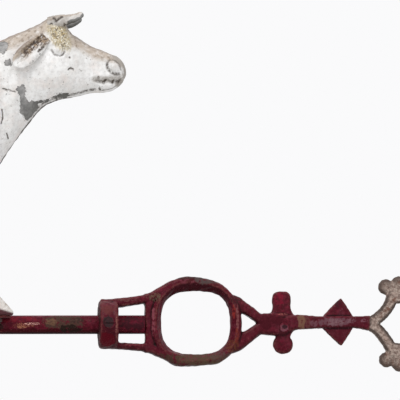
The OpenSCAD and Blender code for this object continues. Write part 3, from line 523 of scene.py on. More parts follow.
ring_casting = join("ring_casting_skin", [
    collar,
    ring,
    bar([(215.6, 217.9), (226, 218.1), (238, 219.5), (248, 220.9), (258, 223.4), (268, 228.3), (278, 233.6),
         (290, 236)], [3.9, 3.9, 3.9, 3.6, 3.8, 4.2, 4.4, 3.0], yoke_depths, 4.0),
    bar([(215.6, 182.2), (226, 182.0), (238, 181.2), (248, 180.6), (258, 179.2), (268, 175.4), (278, 171.4),
         (290, 169)], [2.9, 2.9, 2.9, 3.1, 3.9, 4.3, 4.4, 3.0], yoke_depths, 4.0),
    bar([(258.4, 176), (257.2, 188), (257.0, 201), (257.2, 214), (258.4, 226)], [5.2, 4.0, 3.8, 4.0, 5.2],
        [6.2, 5.8, 5.6, 5.8, 6.2], 4.0),
    bar([(326, 221.4), (331, 219), (338, 214.6), (344, 211), (349, 206.9), (355, 203.2), (361, 202)],
        [5.0, 5.6, 5.1, 4.6, 4.3, 4.5, 5.0], 6.0),
    bar([(326, 179.6), (331, 182.2), (338, 187), (344, 190.9), (349, 194.4), (355, 198), (361, 199)],
        [5.0, 6.2, 6.0, 5.4, 4.9, 4.9, 5.0], 6.0),
    bar([(352.2, 200.4), (354, 200.2), (358, 200.2), (363, 200.0), (371.5, 199.6), (379, 200.8), (386, 202)],
        [6.6, 8.6, 9.3, 9.6, 8.8, 6.9, 6.2], [5.6, 6, 6, 6, 6, 6, 4.6], 4.5),
    lobe((371.3, 0, 220.4), (8.2, 3.7, 8.2), plan=3.0),
    bar([(371.4, 203), (371.4, 207.5), (371.4, 211.5), (371.4, 216), (370.8, 224)],
        [13, 11.2, 8.6, 7.9, 6.9], [3.5, 3.6, 3.6, 3.6, 3.4], 3.5),
    lobe((372.3, 0, 182.8), (8.9, 3.7, 8.5)),
    bar([(372.4, 197), (372.6, 192.6), (372.8, 188.6), (372.8, 183.5)], [11, 8.2, 6.0, 7.4], 3.5, 3.5),
])
cast_skin(ring_casting, grain=0.8, rounds=4)
roughen(ring_casting, grain=6.0, height=0.16, seed=5)
ring_paint = red_paint("red_oil_paint_on_ring_casting", [
    ((298, -5, 169.5), (30, 12, 7), "#4C3D2E", 3.0, 0.76),
    ((318, -5, 172), (11, 12, 6), "#4E3A36", 2.5, 0.66),
    ((328, -6, 181), (7, 10, 7), "#5C3220", 1.8, 0.58),
    # Painted highlights: a pink line and a bright red streak down the right-hand bar's ridge.
    ((332.4, -8, 206), (1.4, 7, 15), "#7C4A4A", 2.6, 0.66),
    ((329.4, -8, 210), (1.6, 7, 8), "#8A2C26", 2.6, 0.62),
    ((332.2, -8, 189), (2.2, 7, 10), "#6C2A20", 2.4, 0.66),
    # Painted highlights down the left-hand bar's two ridges.
    ((260.2, -7, 201), (1.7, 5, 18), "#80434C", 3.4, 0.66),
    ((265.6, -8, 201), (1.5, 5, 18), "#6C3238", 3.4, 0.66),
    ((297, -4, 240.6), (30, 12, 3.0), "#38211F", 3.0, 0.85),
    ((306, -5, 237.6), (13, 12, 4.4), "#4B413F", 2.6, 0.78),
    # A painted highlight on the ring's upper left.
    ((289, -6, 236.4), (10, 9, 2.6), "#69303A", 2.6, 0.56),
    ((262, -8, 223), (8, 8, 4), "#5F4A3C", 2.0, 0.60),
    ((271, -8, 168), (14, 9, 8), "#3E2D24", 3.0, 0.60),
    # A painted highlight on the upper lobe's top left, a painted highlight along the ridge under the lobe,
    # and a painted shadow below that ridge.
    ((369, -4, 222), (5, 4, 7), "#74152A", 3.0, 0.7),
    ((371.5, -4, 208.4), (5, 4, 1.0), "#9A5450", 1.4, 0.62),
    ((371.5, -4, 205.8), (6, 4, 1.2), "#2A0A0E", 2.0, 0.8),
    ((331, -3, 221), (8, 12, 5), "#3A1E1F", 2.5, 0.66),
    ((213, 0, 200), (2.4, 26, 26), "#2E1212", 3.0, 1.3),
    ((221, -21, 201), (5, 5, 6.5), "#2B2425", 2.2, 0.9),
    ((227.8, -18, 199), (1.2, 9, 12), "#80504A", 1.6, 0.60),
    # The collar's lower half: cleaner, deeper red, painted dark as shade.
    ((220, -14, 186), (8, 10, 8), "#500010", 5.0, 1.1),
    ((220.6, -16, 211.4), (6.5, 9, 5.0), "#5E2C2C", 2.4, 0.88),
    ((238, -6, 221), (14, 8, 2), "#603A38", 2.0, 0.55),
    ((240, -6, 178.5), (16, 8, 4), "#320A10", 4.0, 0.66),
    ((361, -6, 202), (13, 5, 8), "#3E0B15", 4.0, 0.8),
])
settle(ring_casting, "vane", "red_paint", ring_paint, "ring_casting")
finish_node("ring_screw", ring_paint)

# Shaft rivet: an iron pin through the Y neck and the bar's tenon, painted over with them. Its head on
# each side is flat and round, and was hammered so that a rim stands round a shallow dish.
box = box_of("shaft_rivet")
centre, (head, end, _) = box.mean(0), (box[1] - box[0]) / 2
profile = np.array([(0.1, end - 0.9), (1.3, end - 0.8), (2.2, end - 0.3), (3.1, end), (3.9, end - 0.2),
                    (head, end - 0.8), (head, end - 1.5), (2.0, end - 1.55)])
profile = np.vstack([profile, (profile * [1, -1])[::-1]])
out, deep = profile[:, :1], profile[:, 1:]
turn = np.linspace(0, 2 * np.pi, 48, endpoint=False)
shaft_rivet = join("shaft_rivet_head", [
    solid(grid(centre[0] + out * np.cos(turn), centre[1] + deep, centre[2] + out * np.sin(turn)))])
shaft_rivet.data.shade_smooth()
rivet_paint = red_paint("red_oil_paint_on_rivet", [
    # A painted highlight round the head's rim, then painted shade in its dish.
    ((centre[0] - 0.3, -end, centre[2] - 0.6), (3.9, 2, 3.4), "#70424C", 2.0, 1.0),
    ((centre[0] + 0.2, -end, centre[2] + 0.3), (2.6, 3, 2.0), "#260F15", 2.0, 1.2),
])
settle(shaft_rivet, "vane", "red_paint", rivet_paint, "shaft_rivet")

# Arrow shaft: a cast bar with a thin diamond plate through it, let into the ring casting with a
# tenon and one rivet. The bar stands proud of the plate and is pocked with pale casting pits.
diamond_x, diamond_z, half_height, softness = 422.8, 202.0, 20.7, 1.08
turn = np.linspace(0, 2 * np.pi, 160, endpoint=False)
cos, sin = np.cos(turn), np.sin(turn)
corner = 1 / (np.abs(cos) ** softness + np.abs(sin) ** softness) ** (1 / softness)
half_width = np.where(cos < 0, np.where(sin < 0, 20.8, 19.4), 12.8)
layers = np.array([-2.6, -2.5, -1.9, 0, 1.9, 2.5, 2.6])[:, None]
shrink = np.array([0.80, 0.94, 0.99, 1.0, 0.99, 0.94, 0.80])[:, None]
arrow_shaft = join("arrow_shaft_skin", [
    bar([(383.4, 201.9), (392, 201.8), (400, 201.7), (424, 201.8), (434, 201.8), (441, 201.4),
         (447.4, 200.9)], [6.4, 6.0, 5.4, 5.0, 5.0, 5.6, 6.6], [4.6, 4.6, 4.5, 4.5, 4.5, 4.5, 4.5], 5.0),
    solid(grid(diamond_x + half_width * corner * cos * shrink, layers,
               diamond_z + half_height * corner * sin * shrink)),
])
cast_skin(arrow_shaft, grain=0.6, rounds=3)
roughen(arrow_shaft, grain=4.5, height=0.12, seed=8)
shaft_paint = red_paint("red_oil_paint_on_arrow_shaft", [
    ((387.6, -4, 202), (5.0, 4, 8), "#70503F", 2.5, 0.9),
    ((393.4, -4, 202), (3.0, 4, 8), "#5A3431", 2.0, 0.7),
    ((399, -4.5, 200.5), (4, 2, 4), "#654048", 2.6, 0.70),
    ((417, -4.5, 202), (19, 2, 4.6), "#64424A", 3.4, 0.72),
    ((417, -4.5, 201.5), (8, 2, 3.8), "#75565B", 2.0, 0.62),
    ((431, -4.5, 203), (5, 2, 2.6), "#75525A", 2.0, 0.56),
    # A painted highlight near the bar's end.
    ((442.5, -4.5, 203), (4, 2, 2.0), "#704852", 1.6, 0.60),
    ((420, -3, 219), (4, 3, 6), "#3B1A20", 2.5, 0.7),
])
settle(arrow_shaft, "vane", "red_paint", shaft_paint, "arrow_shaft")

# Arrow tip: a bare openwork iron casting on the shaft's end, four curved arms round an opening with
# a trefoil above and below, and a spear point. Unpainted cast iron is beige-grey and speckled, and its
# faces that look down are painted darker as shade.
tip_x, tip_z = 473.5, 200.8
bare_iron, tree, shader, place = start_material("bare_cast_iron_weathered")
edge, under = (add(tree, "Attribute", out="Fac", attribute_name=key) for key in ("edge", "under"))
broad = speckle(tree, place, 9.0, 0.35, 0.65)
grain = speckle(tree, place, 2.2, 0.36, 0.60)
flecks = speckle(tree, place, 1.7, 0.56, 0.68)
tip_middle = (tip_x / 1000, 0.0, tip_z / 1000)
away = add(tree, "VectorMath", {0: place, 1: tip_middle}, "Value", operation="DISTANCE")
tone = add(tree, "Mix", {0: broad, 6: "#957F75", 7: "#AF9D91"}, 2, data_type="RGBA")
tone = add(tree, "Mix", {0: grain, 6: "#68534A", 7: tone}, 2, data_type="RGBA")
for mask, colour in (
    (flecks, "#C6B9AE"),
    (speckle(tree, place, 7.0, 0.57, 0.66), "#6B4A3C"),
    (add(tree, "MapRange", {0: edge, 1: 0.05, 2: 0.30, 4: 0.85}), "#34261F"),
    (add(tree, "MapRange", {0: away, 1: 0.027, 2: 0.036, 4: 0.42}), "#5A473E"),
    # Painted shade: darker on faces that look down.
    (add(tree, "MapRange", {0: under, 1: 0.15, 2: 0.85, 4: 0.7}), "#54443A"),
):
    tone = add(tree, "Mix", {0: mask, 6: tone, 7: colour}, 2, data_type="RGBA")
height = add(tree, "Math", {0: grain, 1: flecks}, operation="ADD")
bump = add(tree, "Bump", {"Height": height, "Strength": 0.5, "Distance": 0.0004})
feed(shader, {"Base Color": tone, "Metallic": 0.35, "Roughness": 0.62, "Normal": bump})

upper_arm = [(27.5, 0.3), (21.6, 2.6), (15.1, 7.6), (9.0, 15.2), (6.6, 21.0), (6.0, 28)]
lower_arm = [(27.5, 0.3), (20.8, 4.0), (14.6, 10.6), (9.4, 18.4), (6.8, 23.6), (6.0, 29)]
parts = [
    bar([(447.5, 201.7), (451, 201.4), (456, 200.9)], [4.7, 4.9, 5.2], [4.4, 4.2, 4.0], 4.0),
    bar([(490, 200.9), (499, 201.2), (504, 201.4), (512, 201.5), (522, 201.5), (541.2, 201.5)],
        [4.8, 4.6, 6.5, 12.8, 9.6, 0.7], [4.0, 4.0, 4.0, 4.0, 3.5, 1.2], 2.2),
]
for up, arm in ((1, upper_arm), (-1, lower_arm)):
    for ahead in (-1, 1):
        parts.append(bar([(tip_x + ahead * a, tip_z + up * b) for a, b in arm], 5.0, 4.0, 5.0))
        parts.append(lobe((tip_x + ahead * 11.4, 0, tip_z + up * 31.4), (6.6, 3.9, 6.6), 3.6))
    parts.append(lobe((tip_x, 0, tip_z - 0.6 + up * 34.3), (6.9, 3.9, 6.9), 3.6))
    stem = [(tip_x, tip_z + up * b) for b in (17.3, 27, 35)]
    parts.append(bar(stem, [8, 7, 6], [3.8, 3.9, 3.8], 5.0))
arrow_tip = join("arrow_tip_skin", parts)
cast_skin(arrow_tip, grain=0.7, rounds=3)
roughen(arrow_tip, grain=4.0, height=0.16, seed=11)
settle(arrow_tip, "vane", "bare_cast_iron", bare_iron, "arrow_tip")

# Arrow's tail: a cast socket whose fork is slotted for a swallow-tailed iron sheet, held by two rivets.
# The sheet is painted like the rest and worn along its rear edges.
tail_paint = red_paint("red_oil_paint_on_tail", [
    ((-395, 0, 240), (22, 6, 20), "#5A463C", 5.0, 0.7),
    ((-390, 0, 165), (26, 6, 22), "#4E3A31", 5.0, 0.7),
    ((-330, 0, 214), (20, 6, 10), "#6A4336", 3.0, 0.6),
])
tail_socket = cast_copy("tail_socket", grain=0.8, rounds=4)
roughen(tail_socket, grain=6.0, height=0.12, seed=13)
settle(tail_socket, "vane", "red_paint", tail_paint, "tail_socket")
for name in ("tail_fin", "tail_rivets", "tail_screw"):
    finish_node(name, tail_paint)

# Saddles and straps: cast saddles that lie over the tubes for the hooves to stand on, each held by a
# strap under the tube and two bolts. Their tops are painted dark brown round the near hooves, as the
# hooves' shadow.
saddle_paint = red_paint("red_oil_paint_on_saddles", [
    # Painted shadow of the near front hoof, then of the near hind one.
    ((128, -22, 207), (18, 10, 3), "#4A2A28", 3.0, 0.7),
    ((-100, -22, 207), (18, 10, 3), "#4A2A28", 3.0, 0.7),
])
for seed, name in enumerate(("front_saddle", "rear_saddle", "front_strap", "rear_strap"), 20):
    piece = cast_copy(name, grain=0.6, rounds=3)
    roughen(piece, grain=6.0, height=0.06, seed=seed)
    settle(piece, "vane", "red_paint", saddle_paint, name)


# Cow: two pressed zinc halves, soldered nose to rump along the middle plane, with the legs' inner
# halves soldered in. White lead paint, chalky with age, has flaked off to the grey zinc in places.
def carved(x, h, marks):
    """How much soft round marks raise or sink the surface. Each is its place (x, height above the soles),
    two radii, tilt in degrees and rise, which falls off as exp(-(u ^ 2 + v ^ 2)) from its middle."""
    rise = np.zeros(len(x))
    for x0, h0, rx, rh, tilt, lift in marks:
        cos, sin = math.cos(math.radians(tilt)), math.sin(math.radians(tilt))
        u = ((x - x0) * cos + (h - h0) * sin) / rx
        v = ((h - h0) * cos - (x - x0) * sin) / rh
        rise += lift * np.exp(-(u**2 + v**2))
    return rise


def from_line(x, h, line):
    """Distance in the side view, in millimetres, from each place to a line of straight stretches."""
    best = np.full(len(x), 1e9)
    for (ax, ah), (bx, bh) in zip(line[:-1], line[1:]):
        run, rise = bx - ax, bh - ah
        t = np.clip(((x - ax) * run + (h - ah) * rise) / (run**2 + rise**2), 0, 1)
        best = np.minimum(best, np.hypot(x - ax - t * run, h - ah - t * rise))
    return best


def inside(x, h, loop):
    """Distance to a closed loop in the side view, in millimetres, above nought inside it: a place is inside
    when a level ray from it crosses the loop an odd number of times."""
    odd = np.zeros(len(x), bool)
    for (ax, ah), (bx, bh) in zip(loop, loop[1:] + loop[:1]):
        crosses = (ah > h) != (bh > h)
        odd ^= crosses & (x < (bx - ax) * (h - ah) / (bh - ah + 1e-9) + ax)
    distance = from_line(x, h, loop + loop[:1])
    return np.where(odd, distance, -distance)


def dome(reach, least=0.03):
    """How a form narrows to a round end: sqrt(1 - reach ^ 2) where reach is above 0, never below
    sqrt(least)."""
    return np.sqrt(np.clip(1 - reach.clip(0) ** 2, least, 1))


def swell(points, draw, lengths, spread):
    """A sum of waves in directions and phases that are drawn. A wave is its length, in millimetres, times
    spread, over the size of its drawn direction, which is 1.6 on average."""
    way = draw.normal(size=(len(lengths), 3)) * (2 * np.pi / lengths / spread)[:, None]
    return np.sin(points @ way.T + draw.uniform(0, 6.3, len(lengths))).sum(1)


sole = box_of("cow_right_half")[0, 2]
# The hooves: how far from the middle plane, the x of the front and the hind ones, how far their toes
# reach ahead of that, and how far each of the two toes is from the hoof's middle.
stance, front_hoof, hind_hoof, toe_ahead, toe_aside = 22.0, 127.0, -100.0, 13.2, 4.2
# Along the body, from rump to muzzle: x, the back's and the belly's height above the soles, half the width.
body_line = np.array([
    [-134, 191, 165, 12], [-130, 207, 138, 25], [-120, 214, 118, 35], [-104, 218, 108, 42],
    [-84, 220, 104, 45], [-58, 219, 99, 47], [-28, 217, 96, 49], [2, 217, 95, 50], [32, 218, 97, 48],
    [56, 221, 102, 44], [76, 224, 107, 41], [92, 226, 106, 38], [106, 230, 107, 34], [118, 234, 115, 29],
    [129, 237, 130, 24], [138, 241.5, 144, 21], [147, 245.6, 157, 19.5], [156, 249.4, 168.5, 18.5],
    [163, 252.2, 177.2, 18.5], [170, 256.6, 182.4, 19.5], [177, 259.2, 185.6, 20], [184, 254.5, 187.6, 19.5],
    [190, 245.5, 188.6, 18.5], [198, 240.2, 190.4, 15.5], [208, 234, 193.0, 12.5], [217, 230.3, 193.4, 12],
    [225.5, 226.6, 195.1, 12.5], [232, 223.5, 199.3, 11.5], [236, 218.8, 204, 9], [238, 214, 208.2, 4]])
rump_x, lips_x, muzzle_x = body_line[0, 0], 228.0, body_line[-1, 0]
at = np.concatenate([np.arange(rump_x, lips_x, 1.5), np.linspace(lips_x, muzzle_x, 12)])
top, low, half_width = flow(body_line[:, 0], body_line[:, 1:], at).T
loops = rounded(half_width, (top - low) / 2, 2.25, 120)
parts = [solid(grid(at[:, None], loops[..., 0], sole + ((top + low) / 2)[:, None] + loops[..., 1]))]
# Up each leg: height above the sole, x, half its length and half its width.
front_leg = np.array([
    [10, 122.5, 8.4, 6.6], [15, 120, 7.8, 6.6], [22, 116, 7.5, 6.8], [31, 113, 6.2, 5.8],
    [45, 111.5, 7.2, 6.6], [55, 111, 9.5, 8.2], [65, 110, 9.5, 8], [83, 107, 12.5, 9.5], [105, 103, 17, 12],
    [128, 100, 19.5, 12.5], [156, 97, 13, 7]])
hind_leg = np.array([
    [10, -106, 8.4, 6.6], [15, -108.5, 7.8, 6.6], [22, -112.5, 7.5, 6.8], [32, -115.5, 6.4, 6],
    [46, -118.5, 6.8, 6.2], [59, -121, 8.4, 7.2], [70, -120, 10, 8], [82, -115, 13, 9.5],
    [97, -108, 19, 12], [115, -102, 26, 15], [138, -97, 28, 16], [172, -94, 17, 12]])
# Each hoof is two toes side by side, which narrow upwards and slope back.
up = np.linspace(-0.2, 22, 30)
long = 12.2 - 0.4 * up
narrowed = dome((up - 9) / 13.5)
toe = rounded(long * narrowed, (3.9 - 0.06 * up) * narrowed, 2.5, 32)
for leg_line, hoof_x in ((front_leg, front_hoof), (hind_leg, hind_hoof)):
    at = np.arange(leg_line[0, 0], leg_line[-1, 0], 1.0)
    leg = flow(leg_line[:, 0], leg_line[:, 1:], at)
    loops = rounded(leg[:, 1], leg[:, 2], 2.1, 48)
    toe_x = hoof_x + toe_ahead - 0.86 * (up - 2.8).clip(0) - long
    for side in (-1, 1):
        parts.append(solid(grid(leg[:, :1] + loops[..., 0], side * stance + loops[..., 1],
                                (sole + at)[:, None])))
        for split in (-1, 1):
            toe_y = side * stance + split * toe_aside
            parts.append(solid(grid(toe_x[:, None] + toe[..., 0], toe_y + toe[..., 1],
                                    (sole + up)[:, None])))
cow = join("cow", parts)
cast_skin(cow, grain=1.0, rounds=6)

mesh = cow.data
points, normals = read_points(mesh), read_normals(mesh)
x, y, h = points[:, 0].copy(), points[:, 1].copy(), points[:, 2] - sole
# Marks belong to the side view, so they count only where the surface faces sideways.
facing = np.clip(np.abs(normals[:, 1]) * 1.6 - 0.2, 0, 1)
rise = facing * carved(x, h, [
    (178.5, 228.0, 9.5, 7.5, -20, -1.5), (178.7, 227.8, 4.6, 3.6, -10, 3.0), (167, 206, 19, 15, -20, 2.2),
    (202, 212, 14, 7, -20, -1.0), (210, 224, 18, 3.0, -18, 0.6), (227.1, 214.0, 5.0, 3.5, -40, 1.5),
    (221.9, 197.0, 8, 3.2, 8, 1.0), (222, 207, 9, 3.0, 0, 0.5), (181, 241, 6, 5, 0, 0.8),
    (96, 168, 22, 34, 12, 2.6), (66, 160, 9, 40, 10, -1.8), (100, 126, 12, 16, 0, 1.2),
    (118, 150, 16, 20, 30, 1.4), (-92, 206, 9, 6, 0, 2.2), (-100, 160, 24, 30, 10, 2.2),
    (-66, 182, 12, 14, 0, -2.6), (-66, 126, 10, 20, 20, -1.4), (-122, 196, 7, 6, 0, 1.8),
    (-20, 160, 40, 26, 0, 0.8), (30, 150, 26, 36, 0, 0.8), (111, 60, 9, 6, 0, 0.6),
    (-124, 64, 5, 9, 10, 0.8), (118, 19, 6, 4, 0, 0.5), (-110, 19, 6, 4, 0, 0.5)])
# Cuts and folds along lines: the nostril's, the mouth's, the throat's, the eye's and the neck's, then
# a few cracks. Each has its width, its rise, how dark the dirt and painted shade in it are, and its points.
grime_and_shade = np.zeros(len(x))
for width, lift, dark, line in (
    (1.6, -1.3, 0.62, [(221.6, 213.8), (222.3, 211.8), (224.6, 209.3), (228.0, 207.7), (231.4, 208.0)]),
    (1.2, -0.6, 0.75, [(221.3, 216.9), (221.2, 215.4)]),
    (1.1, -0.5, 0.50,
     [(221.3, 217.2), (223.4, 219.9), (226.2, 220.2), (229.2, 218.8), (231.8, 215.8), (233.2, 211.8)]),
    (1.6, -1.2, 0.52,
     [(211.6, 201.9), (217.0, 201.2), (221.4, 202.0), (226.2, 201.2), (230.4, 201.7), (234.0, 203.0)]),
    (1.3, -0.4, 0.90, [(218.2, 200.6), (219.9, 202.6)]),
    (1.1, -0.4, 0.95, [(226.0, 200.6), (226.7, 202.2)]),
    (1.0, -0.4, 0.90, [(231.5, 201.2), (232.3, 202.0)]),
    (0.8, -0.3, 0.90, [(213.6, 205.4), (213.9, 204.4)]),
    (0.9, -0.3, 0.85, [(214.7, 196.2), (215.6, 195.2)]),
    (1.3, 0.0, 0.62, [(189, 190.2), (198, 192.2), (206, 194.6), (211, 195.2)]),
    (1.3, 0.0, 0.80, [(156, 170.8), (160, 175.6), (165, 180.6), (170, 184.4)]),
    (0.8, 0.0, 0.55, [(217, 194.9), (226, 196.4), (231, 199.8)]),
    (1.0, -0.8, 0.60, [(173.1, 227.6), (175.2, 223.9), (178.9, 222.2), (182.7, 223.1), (184.8, 226.3)]),
    (1.2, 0.6, 0.0, [(172.6, 224.5), (175.4, 221.2), (179.1, 219.8), (183.2, 220.9), (186.3, 224.8)]),
    (1.8, 1.0, 0.1, [(171.4, 232.3), (175.9, 234.4), (181.9, 234.2), (186.8, 230.8)]),
    (4.0, -1.2, 0.0, [(148.6, 212.0), (150.8, 197.2), (160.7, 181.7)]),
    (3.5, 0.9, 0.0, [(143.0, 196.8), (140.3, 176.6), (137.0, 151.8)]),
    (3.0, -0.7, 0.0, [(132.0, 198.8), (131.3, 176.6), (129.0, 150.8)]),
    (1.0, -0.5, 0.8, [(166.5, 181.5), (176.3, 186.5), (186.5, 188.4), (193.5, 190.6)]),
    (0.8, -0.5, 0.9, [(187.3, 210.8), (189.6, 212.2), (191.9, 210.9)]),
    (0.9, -0.5, 0.9, [(188.7, 221.3), (189.1, 221.1)]),
    (0.7, -0.4, 0.9, [(131.6, 193.6), (135.9, 192.3), (141.9, 191.1)]),
    (0.6, -0.4, 0.9, [(130.7, 175.6), (131.6, 168.7), (129.9, 163.5)]),
    (0.6, -0.3, 0.9, [(134.2, 155.8), (135.4, 151.5)]),
):
    fall = fade(from_line(x, h, line), width) * np.clip(facing * 1.5, 0, 1)
    rise += lift * fall
    grime_and_shade = np.maximum(grime_and_shade, dark * fall)
# The forehead's curls, the solder seam, and the pressing's own unevenness, fainter near the soles.
hair_x, hair_h, hair_half_height = 180.5, 239.0, 12.5
drop = hair_h - h
hair_half_width = 9.5 - 0.22 * drop.clip(0, 16)
hair = np.exp(-(((x - hair_x - 0.3 * drop) / hair_half_width) ** 4 + (drop / hair_half_height) ** 4))
curls = np.sin(2.1 * x + 1.6 * np.sin(1.3 * h)) * np.sin(2.3 * h + 1.5 * np.sin(1.1 * x + 0.7))
seam = 0.25 + 0.2 * np.sin(x * 0.8) * np.sin(h * 0.7)
rise += hair * 0.75 * curls + fade(y, 1.2) * seam
draw = np.random.default_rng(7)
for wave, height in ((26.0, 0.30), (9.0, 0.14), (4.5, 0.07)):
    rise += height / 2.4 * swell(points, draw, np.full(6, wave), 1.7)
rise *= np.clip((h - 1.0) / 8, 0, 1)
points += normals * rise[:, None]
move_points(mesh, points)

# Where the paint is off: loops on the near side of the head and neck as they have flaked, and waves
# drawn from a seed elsewhere, both kept as a distance inside the edge so that it can be drawn sharp.
bare_level = 20.0
near_loops = [
    [(142.8, 193.9), (148.4, 197.0), (152.0, 192.9), (151.7, 188.9), (154.4, 184.7), (156.9, 185.3),
     (161.2, 180.7), (161.6, 177.4), (153.7, 166.5), (146.5, 172.8), (144.8, 182.0)],
    [(166.8, 185.8), (171.1, 188.4), (176.3, 191.6), (181.5, 192.8), (185.8, 191.4), (188.3, 192.7),
     (188.8, 190.1), (184.0, 188.4), (178.9, 186.2), (172.0, 184.3), (166.8, 181.2), (164.3, 183.2)],
    [(112.3, 236.6), (121.0, 238.8), (136.3, 235.8), (137.2, 232.3), (135.0, 227.2), (132.9, 222.9),
     (127.0, 227.2), (116.1, 228.9)],
    [(132.4, 219.0), (135.0, 220.3), (138.9, 219.4), (139.3, 214.3), (135.9, 212.6), (132.9, 214.3)],
]


def keep_bare(mesh, distance):
    """Store how far inside the edge of a bare patch each point lies, in millimetres, plus bare_level. On a
    mesh without it a material reads 0, which is well outside, so only small chips are off its paint."""
    keep(mesh, "bare", np.clip(distance, -bare_level, bare_level) + bare_level)


waves = swell(points, draw, np.linspace(15, 90, 9), 1.6)
ripples = swell(points, draw, np.linspace(7, 16, 7), 1.6)
near_head = np.clip((x - 104) / 16, 0, 1) * (points[:, 1] < 0.5)
bare = (waves - 3.8) * 6.0 + ripples * 1.5 - 30 * near_head
near = (points[:, 1] < 0.5) & (x > 90)
for loop in near_loops:
    bare[near] = np.maximum(bare[near], inside(x[near], h[near], loop))
keep_bare(mesh, bare)
# Dust lies along the back, on the brow and low on the legs. Curls are yellowed, the throat's seam is
# dark, and the lips and chin are rubbed grey. The saddles' red has run up on the soles, as a band that
# starts red_from ahead of the hoof's middle and is highest at the heel.
top, low, _ = flow(body_line[:, 0], body_line[:, 1:], np.clip(x, rump_x, muzzle_x)).T
band = np.interp(x, [100, 140, 165, 190, 215, 238], [7, 16, 18, 16, 14, 7])
on_top = np.clip(1 - (top - h) / band, 0, 1) * np.clip((x - 40) / 60, 0.2, 1)
brow = 0.5 * fade(x - 191.5, 4.5) * fade(h - 236, 6) * facing
keep(mesh, "dust", np.max([on_top, brow, 0.2 * np.clip((30 - h) / 14, 0, 1)], axis=0))
frayed = 0.25 * np.sin(1.9 * x + h) * np.sin(1.7 * h - 0.8 * x) - 0.25
keep(mesh, "hair", np.clip(hair * 1.3 + frayed, 0, 1))
throat = 0.9 * fade(points[:, 1], np.interp(x, [165, 185], [4.4, 2.0]), 4) * (h < low + 12)
throat *= np.clip((x - 90) / 30, 0, 1) * np.clip((205 - x) / 20, 0.3, 1)
keep(mesh, "grime_and_shade", np.maximum(grime_and_shade, throat))
red_from = 13.0
behind = np.where(x > 10, front_hoof, hind_hoof) + red_from - x
heel = np.clip(1.6 + 0.32 * np.minimum(behind, 12) - h, 0, 1) * (np.abs(points[:, 1]) > 5)
keep(mesh, "red", heel)
lips = from_line(x, h, [
    (227.9, 222.9), (232.2, 219.4), (236.1, 214.7), (237.4, 210), (236.1, 204.8), (231, 200.5)])
chin = from_line(x, h, [(211, 203.2), (222, 203.2), (233, 204.5)])
nostril = 0.35 * fade(x - 227.5, 4) * fade(h - 214, 4)
keep(mesh, "muzzle", np.max([fade(lips, 3.2, 4), 0.8 * fade(chin, 3.0, 4), nostril], axis=0))


